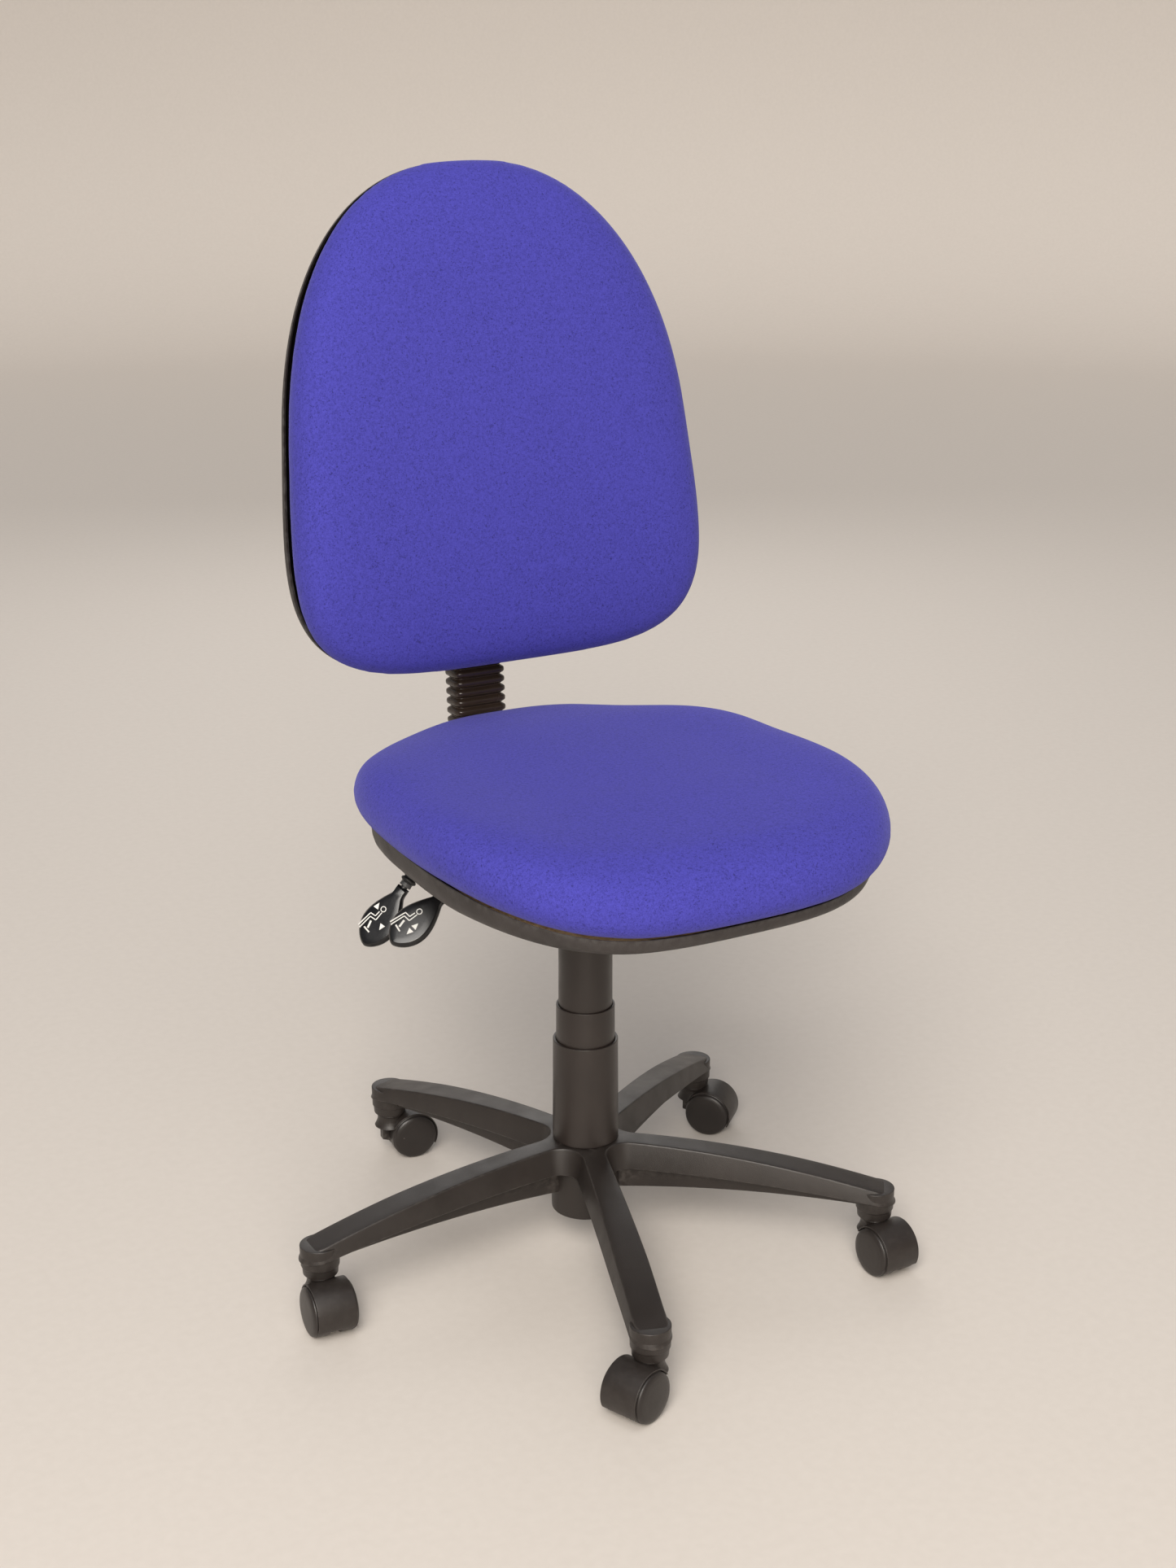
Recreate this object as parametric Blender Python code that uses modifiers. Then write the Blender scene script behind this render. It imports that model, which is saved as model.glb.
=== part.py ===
"""Swivel office chair: five-star base on twin-wheel casters, gas lift, contoured seat, tilting back.

Units are metres and +Z is up. The floor is z = 0, the sitter faces -Y and +X is the sitter's left.
Every moving body hangs from an empty on its joint's axis.
"""

import math

import bmesh
import bpy
from mathutils import Matrix, Vector

# Place of the column's axis, so that the chair's box is centred on the origin.
COLUMN_X = 0.0180
COLUMN_Y = 0.0076

GAP = 0.0003
ROUND_STEPS = 24
SMALL_STEPS = 12
SMOOTH_ANGLE = math.radians(35.0)
FLAT_ANGLE = math.radians(0.02)

# Five-star base.
ARM_COUNT = 5
FIRST_ARM_ANGLE = math.radians(-90.0)
STEM_CIRCLE = 0.300
HUB_TOP = 0.128
HUB_BOTTOM = 0.047
HUB_RADIUS = 0.0350
HUB_SKIRT_RADIUS = 0.0468
HUB_SKIRT_BOTTOM = 0.1008
ARM_TOP_DROP = 0.45
ARM_EDGE_TOP = 0.1005
ARM_EDGE_DROP = 0.30
ARM_RIB_BOTTOM = 0.075
ARM_RIB_DROP = 0.35
ARM_RIB_PEAK = 0.125
ARM_RIB_HALF = 0.006
ARM_SKIRT = 0.003
ARM_ROOF = 0.0045
ARM_TIP_TOP_HALF = 0.0160
ARM_TIP_EDGE_HALF = 0.0205
BOSS_RADIUS = 0.0185
BOSS_BOTTOM = 0.0535
BOSS_TOP = 0.0820
SOCKET_RADIUS = 0.0058
SOCKET_TOP = 0.0785

# Casters: the local +X runs from the stem to the wheels.
WHEEL_RADIUS = 0.0255
WHEEL_TRAIL = 0.0225
WHEEL_OUTER = 0.0235
WHEEL_INNER = 0.0052
HOOD_INNER = 0.0259
HOOD_OUTER = 0.0275
HOOD_HALF = 0.0200
HOOD_FRONT_ANGLE = math.radians(-28.0)
HOOD_REAR_ANGLE = math.radians(150.0)
WEB_HALF = 0.0043
WEB_RADIUS = 0.0215
WEB_NOSE_X = -0.0330
WEB_NOSE_TOP = 0.0160
WEB_NOSE_BOTTOM = -0.0040
AXLE_RADIUS = 0.0030
AXLE_HALF = 0.0160
STEM_RADIUS = 0.0055
STEM_BOTTOM = 0.0462
STEM_TOP = 0.0770
CASTER_NAMES = ("right", "front", "front_left", "rear_left", "rear_right")
CASTER_HEADINGS = (-4.0, -68.0, 2.0, 42.0, 84.0)

# Column.
TUBE_RADIUS = 0.0250
TUBE_WALL = 0.0015
TUBE_BOTTOM = 0.0450
TUBE_TOP = 0.2580
CYLINDER_RADIUS = 0.0140
CYLINDER_BORE = 0.0115
CYLINDER_BOTTOM = 0.1500
CYLINDER_TOP = 0.4180
ROD_RADIUS = 0.0050
ROD_BOTTOM = 0.0400
ROD_TOP = 0.2600
COVER_WALL = 0.0014
LOWER_COVER = (0.0333, 0.1283, 0.2385)
MIDDLE_COVER = (0.0298, 0.1800, 0.2765)
UPPER_COVER = (0.0272, 0.2300, 0.3985)

# Tilt mechanism under the seat.
HOUSING_HALF = 0.0550
HOUSING_FRONT = -0.0750
HOUSING_REAR = 0.1300
HOUSING_BOTTOM = 0.4020
HOUSING_WALL = 0.0030
FLANGE_TOP = 0.4656
TAPER_SOCKET_RADIUS = 0.0210
TAPER_SOCKET_TOP = 0.4182
FLANGE_HALF = 0.0850
PIVOT_Y = 0.1120
PIVOT_Z = 0.4250
PIVOT_RADIUS = 0.0050
BOLT_X = 0.0700
BOLT_FRONT = -0.0550
BOLT_REAR = 0.0950
SPRING_TURNS = 3
SPRING_POINTS = 9
SPRING_RADIUS = 0.0084
SPRING_START = 0.0275
SPRING_LENGTH = 0.0185
SPRING_WIRE = 0.0013

# Seat outline and the moulded curve of its plywood.
SEAT_HALF = 0.2315
SEAT_FRONT = 0.3110
SEAT_REAR = 0.2080
SEAT_FRONT_POWER = 2.85
SEAT_REAR_POWER = 2.45
SEAT_TAPER = 0.080
SEAT_WIDEST_Z = 0.4970
SEAT_SIDE_RISE = 0.0160
SEAT_FRONT_DROP = 0.0120
SEAT_REAR_RISE = 0.0120
SEAT_FLAT_HALF = 0.0900
SEAT_FLAT_FRONT = 0.1200
SEAT_FLAT_REAR = 0.1350
SEAT_CROWN = 0.0410
SEAT_UNDER = 0.0208
PAN_THICKNESS = 0.0100
SHELL_WALL = 0.0030
SEAT_SHELL_DEPTH = 0.0280
SHELL_RIM_GAP = 0.0014
SHELL_TAPER_FROM = 0.1300
SHELL_TAPER = 0.45

# Back: its frame leans with the bar, and the cushion leans a little more.
BAR_LEAN = math.radians(4.0)
BAR_Y = 0.2549
BAR_Z = 0.8300
BAR_HALF_WIDTH = 0.0210
BAR_HALF_THICK = 0.0035
BAR_TOP = -0.0400
BAR_BEND_RADIUS = 0.0300
BACK_HALF = 0.2215
BACK_UP = 0.2625
BACK_DOWN = 0.2400
BACK_UP_POWER = 2.45
BACK_DOWN_POWER = 4.20
BACK_TAPER = 0.110
BACK_MID_Y = -0.0749
BACK_LEAN = math.tan(math.radians(6.0))
BACK_CROWN = 0.0165
BACK_HALF_THICK = 0.0270
PANEL_THICKNESS = 0.0100
BACK_SHELL_REAR = 0.0185
SLIDER_HALF = 0.0300
SLIDER_BOTTOM = -0.1700
SLIDER_TOP = -0.0600
SLIDER_REAR = 0.0085
OUTLINE_COUNT = 32

# Bellows over the bar.
BELLOWS_BOTTOM = -0.3700
BELLOWS_TOP = -0.2360
BELLOWS_RIBS = 9
BELLOWS_RIDGE = (0.0300, 0.0170)
BELLOWS_VALLEY = (0.0255, 0.0125)
BELLOWS_INNER = (0.0225, 0.0085)
BELLOWS_BACKSET = 0.0020

# Levers on the sitter's right.
LEVER_WALL_X = -0.0535
HEIGHT_LEVER_Y = 0.0870
HEIGHT_LEVER_Z = 0.4273
HEIGHT_BEND_X = -0.1380
HEIGHT_DROP = math.radians(50.0)
TILT_LEVER_Y = 0.0030
TILT_LEVER_Z = 0.4273
TILT_BEND_X = -0.1480
TILT_DROP = math.radians(35.0)
LEVER_ROD_RADIUS = 0.0035
PADDLE_LENGTH = 0.0700
PADDLE_GRIP = 0.0220
PADDLE_HALF_WIDTH = 0.0190
PADDLE_NECK_HALF = 0.0062
PADDLE_HALF_THICK = 0.0050
PADDLE_TWIST = math.radians(38.0)
BOOT_LENGTH = 0.0240

# Finishes: colour, roughness, metallic.
FINISHES = {
    "nylon": ((0.022, 0.020, 0.020, 1.0), 0.42, 0.0),
    "cover": ((0.026, 0.023, 0.022, 1.0), 0.38, 0.0),
    "shell": ((0.030, 0.027, 0.026, 1.0), 0.50, 0.0),
    "paddle": ((0.010, 0.010, 0.011, 1.0), 0.35, 0.0),
    "rubber": ((0.012, 0.012, 0.012, 1.0), 0.60, 0.0),
    "bellows": ((0.010, 0.009, 0.009, 1.0), 0.22, 0.0),
    "fabric": ((0.075, 0.070, 0.420, 1.0), 0.95, 0.0),
    "steel": ((0.550, 0.550, 0.560, 1.0), 0.30, 1.0),
    "painted": ((0.018, 0.018, 0.019, 1.0), 0.45, 0.0),
    "wood": ((0.520, 0.360, 0.210, 1.0), 0.65, 0.0),
    "bush": ((0.700, 0.690, 0.650, 1.0), 0.50, 0.0),
}


# ---------------------------------------------------------------- scene helpers

def clear_scene():
    for item in list(bpy.data.objects):
        bpy.data.objects.remove(item, do_unlink=True)


def new_collection(name):
    collection = bpy.data.collections.new(name)
    bpy.context.scene.collection.children.link(collection)
    return collection


def new_material(name, finish):
    colour, roughness, metallic = FINISHES[finish]
    material = bpy.data.materials.new(name)
    material.use_nodes = True
    shader = material.node_tree.nodes["Principled BSDF"]
    shader.inputs["Base Color"].default_value = colour
    shader.inputs["Roughness"].default_value = roughness
    shader.inputs["Metallic"].default_value = metallic
    material.diffuse_color = colour
    return material


def place(item, parent=None, location=(0, 0, 0), rotation=(0, 0, 0)):
    item.parent = parent
    item.location = location
    item.rotation_euler = rotation
    return item


def new_empty(name, parent=None, location=(0, 0, 0), rotation=(0, 0, 0)):
    empty = bpy.data.objects.new(name, None)
    empty.empty_display_size = 0.03
    chair.objects.link(empty)
    return place(empty, parent, location, rotation)


def new_part(name, mesh, finish, parent=None, location=(0, 0, 0), rotation=(0, 0, 0)):
    """Add a mesh to the chair as a named part with its own material."""
    if not mesh.materials:
        mesh.materials.append(new_material(name, finish))
    part = bpy.data.objects.new(name, mesh)
    chair.objects.link(part)
    return place(part, parent, location, rotation)


def scratch(mesh):
    """An object that only lives while a shape is being worked out."""
    item = bpy.data.objects.new("scratch", mesh)
    cutters.objects.link(item)
    item.hide_render = True
    item.display_type = "WIRE"
    return item


def settled(item):
    """The item's mesh with its modifiers applied, shaded smooth by angle; the item is removed."""
    bpy.context.view_layer.update()
    graph = bpy.context.evaluated_depsgraph_get()
    mesh = bpy.data.meshes.new_from_object(item.evaluated_get(graph))
    mesh.transform(item.matrix_world)
    bpy.data.objects.remove(item, do_unlink=True)
    mesh.materials.clear()
    mesh.shade_smooth()
    mesh.set_sharp_from_angle(angle=SMOOTH_ANGLE)
    return mesh


# ---------------------------------------------------------------- shape helpers

def finished(builder):
    """A mesh from a bmesh, with outward faces, shaded smooth by angle."""
    bmesh.ops.recalc_face_normals(builder, faces=builder.faces)
    mesh = bpy.data.meshes.new("shape")
    builder.to_mesh(mesh)
    builder.free()
    mesh.shade_smooth()
    mesh.set_sharp_from_angle(angle=SMOOTH_ANGLE)
    return mesh


def turned(profile, steps=ROUND_STEPS):
    """Turn (radius, height) points about Z; the profile runs down its outer side.

    A profile that leaves the axis is closed into a ring.
    """
    points = [(radius, 0.0, height) for radius, height in profile]
    edges = [(k, k + 1) for k in range(len(points) - 1)]
    if profile[0][0] > 0:
        edges.append((len(points) - 1, 0))
    mesh = bpy.data.meshes.new("profile")
    mesh.from_pydata(points, edges, [])
    item = scratch(mesh)
    screw = item.modifiers.new("Screw", "SCREW")
    screw.angle = math.tau
    screw.steps = steps
    screw.render_steps = steps
    screw.use_merge_vertices = True
    screw.merge_threshold = 0.0001
    return settled(item)


def rod(radius, bottom, top, steps=SMALL_STEPS):
    return turned([(0, top), (radius, top), (radius, bottom), (0, bottom)], steps)


def ring(outer, inner, bottom, top, steps=ROUND_STEPS):
    return turned([(outer, top), (outer, bottom), (inner, bottom), (inner, top)], steps)


def block(size, centre, bevel=0.0, segments=2):
    """A box of full sizes, with optional rounded edges."""
    builder = bmesh.new()
    bmesh.ops.create_cube(builder, size=1.0)
    bmesh.ops.scale(builder, vec=size, verts=builder.verts)
    bmesh.ops.translate(builder, vec=centre, verts=builder.verts)
    mesh = finished(builder)
    if not bevel:
        return mesh
    item = scratch(mesh)
    rounding = item.modifiers.new("Bevel", "BEVEL")
    rounding.width = bevel
    rounding.segments = segments
    return settled(item)


def bridged(builder, rings, looped=False):
    """Add rings of equal count to the builder and the walls between them."""
    rows = [[builder.verts.new(point) for point in row] for row in rings]
    count = len(rows[0])
    pairs = list(zip(rows, rows[1:]))
    if looped:
        pairs.append((rows[-1], rows[0]))
    for lower, upper in pairs:
        for k in range(count):
            n = (k + 1) % count
            builder.faces.new((lower[k], lower[n], upper[n]))
            builder.faces.new((lower[k], upper[n], upper[k]))
    return rows


def loft(rings, looped=False):
    """Skin closed rings of equal count; the ends are capped, or joined into a loop."""
    builder = bmesh.new()
    rows = bridged(builder, rings, looped)
    if not looped:
        builder.faces.new(rows[0])
        builder.faces.new(rows[-1])
    return finished(builder)


def skin(rings, thickness):
    """An open lofted surface with a cap on the last ring, thickened inwards."""
    builder = bmesh.new()
    last = bridged(builder, rings)[-1]
    middle = builder.verts.new(sum((v.co for v in last), Vector()) / len(last))
    for k, vertex in enumerate(last):
        builder.faces.new((vertex, last[(k + 1) % len(last)], middle))
    item = scratch(finished(builder))
    shell = item.modifiers.new("Solidify", "SOLIDIFY")
    shell.thickness = thickness
    shell.offset = -1.0
    return settled(item)


def moved(mesh, location=(0, 0, 0), rotation=(0, 0, 0)):
    """The mesh placed by location and rotation, as new geometry."""
    item = place(scratch(mesh), None, location, rotation)
    return settled(item)


def triangulated(mesh):
    builder = bmesh.new()
    builder.from_mesh(mesh)
    bmesh.ops.triangulate(builder, faces=builder.faces)
    builder.to_mesh(mesh)
    builder.free()
    return mesh


def simplified(mesh):
    """Flat areas without needless vertices, as triangles."""
    builder = bmesh.new()
    builder.from_mesh(mesh)
    bmesh.ops.dissolve_limit(builder, angle_limit=FLAT_ANGLE, verts=builder.verts, edges=builder.edges)
    bmesh.ops.triangulate(builder, faces=builder.faces)
    builder.to_mesh(mesh)
    builder.free()
    return mesh


def combined(base, others, operation):
    """Join or cut the base mesh with other meshes, one exact Boolean each."""
    item = scratch(triangulated(base))
    tools = [scratch(triangulated(mesh)) for mesh in others]
    for tool in tools:
        step = item.modifiers.new("Boolean", "BOOLEAN")
        step.operation = operation
        step.solver = "EXACT"
        step.object = tool
    mesh = settled(item)
    for tool in tools:
        bpy.data.objects.remove(tool, do_unlink=True)
    return simplified(mesh)


def union(base, *others):
    return combined(base, others, "UNION")


def cut(base, *others):
    return combined(base, others, "DIFFERENCE")


def wire(points, radius, smooth=True):
    """A round bar along a path, smooth or straight from point to point, as a closed mesh."""
    curve = bpy.data.curves.new("path", "CURVE")
    curve.dimensions = "3D"
    curve.bevel_depth = radius
    curve.bevel_resolution = 1
    curve.use_fill_caps = True
    curve.resolution_u = 3
    spline = curve.splines.new("NURBS" if smooth else "POLY")
    spline.points.add(len(points) - 1)
    for slot, point in zip(spline.points, points):
        slot.co = (*point, 1.0)
    if smooth:
        spline.order_u = 3
        spline.use_endpoint_u = True
    mesh = settled(scratch(curve))
    builder = bmesh.new()
    builder.from_mesh(mesh)
    bmesh.ops.remove_doubles(builder, verts=builder.verts, dist=0.00001)
    return finished(builder)


def signed_power(value, power):
    return math.copysign(abs(value) ** (2.0 / power), value)


def egg(half, ahead, behind, ahead_power, behind_power, taper, inset=0.0):
    """Points of a rounded outline: across first, then along, positive ahead.

    The inset moves each point in along the outline's own normal.
    """
    outline = []
    for k in range(OUTLINE_COUNT):
        angle = math.tau * (k + 0.5) / OUTLINE_COUNT
        reach = ahead if math.cos(angle) > 0 else behind
        power = ahead_power if math.cos(angle) > 0 else behind_power
        along = reach * signed_power(math.cos(angle), power)
        across = half * signed_power(math.sin(angle), power) * (1.0 + taper * along / 0.25)
        outline.append(Vector((across, along)))
    if not inset:
        return outline
    shrunk = []
    for k, point in enumerate(outline):
        chord = outline[(k + 1) % OUTLINE_COUNT] - outline[k - 1]
        inward = Vector((chord.y, -chord.x)).normalized()
        shrunk.append(point + inward * inset)
    return shrunk


def ramp(value, start, end):
    """Zero up to the start, then growing to one at the end and on beyond it."""
    return max(0.0, (value - start) / (end - start))


# ---------------------------------------------------------------- base

def arm_mesh():
    """One hollow arm along +X, from inside the hub to its rounded tip."""
    sections = []
    straight = (0.018, 0.038, 0.050, 0.064, 0.11, 0.18, 0.25)
    for distance in straight:
        flare = 0.009 * ramp(0.066 - distance, 0.0, 0.032) ** 1.6
        widen = min(1.0, ramp(distance, 0.05, 0.22))
        top_half = 0.0120 + 0.0040 * widen + 0.5 * flare
        edge_half = 0.0180 + 0.0030 * widen + flare
        sections.append(arm_section(distance, distance, top_half, edge_half))
    for turn in (0.0, 38.0, 64.0, 82.0):
        out = math.sin(math.radians(turn))
        across = math.cos(math.radians(turn))
        top_at = STEM_CIRCLE + ARM_TIP_TOP_HALF * out
        edge_at = STEM_CIRCLE + (ARM_TIP_EDGE_HALF + 0.001) * out
        top_half = ARM_TIP_TOP_HALF * across
        edge_half = ARM_TIP_EDGE_HALF * across
        sections.append(arm_section(top_at, edge_at, top_half, edge_half))
    return loft(sections)


def arm_section(top_at, edge_at, top_half, edge_half):
    """An inverted U with a centre rib; the top and the lower edge may lie at unlike distances."""
    top = HUB_TOP - ARM_TOP_DROP * top_at ** 2
    edge = ARM_EDGE_TOP - ARM_EDGE_DROP * edge_at ** 2
    rib = ARM_RIB_BOTTOM - ARM_RIB_DROP * (edge_at - ARM_RIB_PEAK) ** 2
    scale = min(1.0, edge_half / (ARM_RIB_HALF + ARM_SKIRT + 0.004))
    rib_half = ARM_RIB_HALF * scale
    skirt = ARM_SKIRT * scale
    inner_half = max(top_half - skirt, rib_half + 0.002 * scale)
    side = (
        (top_half, top_at, top),
        (edge_half, edge_at, edge),
        (edge_half - skirt, edge_at, edge),
        (inner_half, top_at, top - ARM_ROOF),
        (rib_half, top_at, top - ARM_ROOF - 0.001),
        (rib_half * 0.85, edge_at, min(rib, edge - 0.002)),
    )
    right = [(at, -across, height) for across, at, height in side]
    left = [(at, across, height) for across, at, height in reversed(side)]
    return right + left


def star_base(frame):
    """The hub, five arms with their stem bosses, and the bore for the column."""
    boss_profile = [
        (0, BOSS_TOP),
        (BOSS_RADIUS - 0.002, BOSS_TOP),
        (BOSS_RADIUS - 0.0025, BOSS_BOTTOM + 0.001),
        (BOSS_RADIUS - 0.0035, BOSS_BOTTOM),
        (0, BOSS_BOTTOM),
    ]
    boss = moved(turned(boss_profile, 16), (STEM_CIRCLE, 0, 0))
    socket = moved(rod(SOCKET_RADIUS, 0.0, SOCKET_TOP), (STEM_CIRCLE, 0, 0))
    arm = cut(union(arm_mesh(), boss), socket)
    hub_profile = [
        (0, HUB_TOP),
        (HUB_RADIUS - 0.0008, HUB_TOP),
        (HUB_RADIUS + 0.0018, HUB_TOP - 0.0015),
        (HUB_SKIRT_RADIUS, HUB_SKIRT_BOTTOM),
        (HUB_RADIUS + 0.0050, HUB_SKIRT_BOTTOM - 0.0010),
        (HUB_RADIUS - 0.0005, HUB_BOTTOM),
        (0, HUB_BOTTOM),
    ]
    arms = [moved(arm.copy(), (0, 0, 0), (0, 0, arm_angle(k))) for k in range(ARM_COUNT)]
    solid = union(turned(hub_profile, 30), *arms)
    bore = rod(TUBE_RADIUS + GAP, 0.0, HUB_TOP + 0.02, ROUND_STEPS)
    new_part("star_base", cut(solid, bore), "nylon", frame)


def arm_angle(index):
    """The arm's turn about Z, for an arm drawn along +X."""
    heading = FIRST_ARM_ANGLE + index * math.tau / ARM_COUNT
    return heading - math.pi / 2.0


def column_tube(frame):
    inner = TUBE_RADIUS - TUBE_WALL
    hole = ROD_RADIUS + 0.0006
    profile = [
        (TUBE_RADIUS, TUBE_TOP),
        (TUBE_RADIUS, TUBE_BOTTOM),
        (hole, TUBE_BOTTOM),
        (hole, TUBE_BOTTOM + 0.0025),
        (inner, TUBE_BOTTOM + 0.0025),
        (inner, TUBE_TOP),
    ]
    new_part("column_tube", turned(profile), "steel", frame)


def guide_bush(frame):
    outer = TUBE_RADIUS - TUBE_WALL - GAP
    mesh = ring(outer, CYLINDER_RADIUS + GAP, 0.1850, TUBE_TOP - 0.001)
    new_part("guide_bush", mesh, "bush", frame)


def thrust_bearing(frame):
    floor = TUBE_BOTTOM + 0.0025 + GAP
    new_part("thrust_bearing", ring(0.0120, ROD_RADIUS + GAP, floor, floor + 0.0060, 24), "steel", frame)


def cover(name, measures, lip_inner, foot_outer, parent):
    """A telescopic cover with an inward lip at the top and an outward foot."""
    outer, bottom, top = measures
    inner = outer - COVER_WALL
    profile = [
        (outer - 0.0006, top),
        (outer, top - 0.0010),
        (foot_outer, bottom + 0.0026),
        (foot_outer, bottom),
        (inner, bottom),
        (inner, top - 0.0022),
        (lip_inner, top - 0.0018),
        (lip_inner, top),
    ]
    new_part(name, turned(profile), "cover", parent)


def base(frame):
    star_base(frame)
    column_tube(frame)
    guide_bush(frame)
    thrust_bearing(frame)
    cover("lower_column_cover", LOWER_COVER, MIDDLE_COVER[0] + 0.0005, LOWER_COVER[0] + 0.0006, frame)


# ---------------------------------------------------------------- casters

def caster_hood_mesh():
    """The hood over the wheels, the web between them and the stem housing, in one moulding."""
    axle_place = (WHEEL_TRAIL, 0, WHEEL_RADIUS)
    profile = [
        (HOOD_OUTER - 0.0010, HOOD_HALF),
        (HOOD_OUTER, HOOD_HALF - 0.0014),
        (HOOD_OUTER, -HOOD_HALF + 0.0014),
        (HOOD_OUTER - 0.0010, -HOOD_HALF),
        (HOOD_INNER, -HOOD_HALF),
        (HOOD_INNER, HOOD_HALF),
    ]
    arch = hood_arc(profile, HOOD_FRONT_ANGLE, HOOD_REAR_ANGLE, 12)
    upright = (math.pi / 2.0, 0, 0)
    web = moved(web_mesh(), axle_place, upright)
    housing_profile = [
        (0, BOSS_BOTTOM - 0.0008),
        (0.0125, BOSS_BOTTOM - 0.0008),
        (0.0135, BOSS_BOTTOM - 0.0018),
        (0.0135, 0.0370),
        (0, 0.0370),
    ]
    room = rod(HOOD_INNER + 0.0002, WEB_HALF + 0.0001, 0.03, 32)
    rooms = [moved(room.copy(), axle_place, (turn, 0, 0)) for turn in (math.pi / 2.0, -math.pi / 2.0)]
    housing = cut(turned(housing_profile, 16), *rooms)
    solid = union(web, moved(arch, axle_place, upright), housing)
    socket = rod(STEM_RADIUS + GAP, STEM_BOTTOM - GAP, 0.08)
    axle_hole = moved(rod(AXLE_RADIUS + GAP, -0.03, 0.03, 10), axle_place, upright)
    return cut(solid, socket, axle_hole)


def web_mesh():
    """The plate between the wheels, flat in XY about the axle: full arc above, smaller below."""
    outline = []
    for k in range(13):
        turn = HOOD_FRONT_ANGLE + 0.05 + (HOOD_REAR_ANGLE - HOOD_FRONT_ANGLE - 0.10) * k / 12
        outline.append(((HOOD_INNER + 0.0007) * math.cos(turn), (HOOD_INNER + 0.0007) * math.sin(turn)))
    outline += [(WEB_NOSE_X, WEB_NOSE_TOP), (WEB_NOSE_X, WEB_NOSE_BOTTOM)]
    for k in range(9):
        turn = math.radians(205.0) + math.radians(125.0) * k / 8
        outline.append((WEB_RADIUS * math.cos(turn), WEB_RADIUS * math.sin(turn)))
    return loft([[(x, y, z) for x, y in outline] for z in (-WEB_HALF, WEB_HALF)])


def hood_arc(profile, start, end, steps):
    """A ring section swept about Z from one angle to the other, with flat ends."""
    sections = []
    for k in range(steps + 1):
        turn = start + (end - start) * k / steps
        sections.append([(r * math.cos(turn), r * math.sin(turn), -h) for r, h in profile])
    return loft(sections)


def wheel_mesh():
    """One wheel of the pair on +Y: a cupped wheel with a shallow domed outer face."""
    profile = [
        (0, WHEEL_OUTER + 0.0012),
        (0.0120, WHEEL_OUTER + 0.0006),
        (WHEEL_RADIUS - 0.0025, WHEEL_OUTER - 0.0006),
        (WHEEL_RADIUS, WHEEL_OUTER - 0.0030),
        (WHEEL_RADIUS, WHEEL_INNER),
        (AXLE_RADIUS + GAP, WHEEL_INNER),
        (AXLE_RADIUS + GAP, AXLE_HALF + 0.0006),
        (0, AXLE_HALF + 0.0006),
    ]
    return moved(turned(profile, 20), (0, 0, 0), (-math.pi / 2.0, 0, 0))


def casters(frame):
    hood = caster_hood_mesh()
    wheel = wheel_mesh()
    mirrored = moved(wheel.copy(), (0, 0, 0), (0, 0, math.pi))
    stem = turned([(0, STEM_TOP), (STEM_RADIUS - 0.001, STEM_TOP), (STEM_RADIUS, STEM_TOP - 0.001),
                   (STEM_RADIUS, STEM_BOTTOM), (0, STEM_BOTTOM)], 12)
    axle = moved(rod(AXLE_RADIUS, -AXLE_HALF, AXLE_HALF, 10), (0, 0, 0), (math.pi / 2.0, 0, 0))
    for index, side in enumerate(CASTER_NAMES):
        heading = arm_angle(index)
        spot = (STEM_CIRCLE * math.cos(heading), STEM_CIRCLE * math.sin(heading), 0)
        facing = math.radians(CASTER_HEADINGS[index]) - math.pi / 2.0
        swivel = new_empty("caster_swivel_" + side, frame, spot, (0, 0, facing))
        hub = new_empty("wheel_spin_" + side, swivel, (WHEEL_TRAIL, 0, WHEEL_RADIUS))
        new_part("caster_hood_" + side, hood, "nylon", swivel)
        new_part("caster_stem_" + side, stem, "steel", swivel)
        new_part("wheel_axle_" + side, axle, "steel", hub)
        new_part("wheel_left_" + side, wheel, "nylon", hub)
        new_part("wheel_right_" + side, mirrored, "nylon", hub)


# ---------------------------------------------------------------- column's moving pieces

def piston_rod(swivel):
    new_part("piston_rod", rod(ROD_RADIUS, ROD_BOTTOM, ROD_TOP), "steel", swivel)
    clip = ring(0.0090, ROD_RADIUS + GAP, TUBE_BOTTOM - 0.0032, TUBE_BOTTOM - 0.0009, 20)
    new_part("retaining_clip", clip, "steel", swivel)


def gas_lift(lift):
    profile = [
        (0.0046, CYLINDER_TOP),
        (CYLINDER_RADIUS, CYLINDER_TOP),
        (CYLINDER_RADIUS, CYLINDER_BOTTOM),
        (ROD_RADIUS + GAP, CYLINDER_BOTTOM),
        (ROD_RADIUS + GAP, CYLINDER_BOTTOM + 0.012),
        (CYLINDER_BORE, CYLINDER_BOTTOM + 0.012),
        (CYLINDER_BORE, CYLINDER_TOP - 0.014),
        (0.0046, CYLINDER_TOP - 0.012),
    ]
    new_part("gas_cylinder", turned(profile), "painted", lift)
    cover("upper_column_cover", UPPER_COVER, CYLINDER_RADIUS + 0.0006, UPPER_COVER[0] + 0.0004, lift)


def release_button(lift):
    top = HEIGHT_LEVER_Z - LEVER_ROD_RADIUS - GAP
    button = new_empty("release_button_axis", lift)
    new_part("release_button", rod(0.0042, CYLINDER_TOP - 0.0075, top, 14), "steel", button)


# ---------------------------------------------------------------- mechanism

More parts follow.
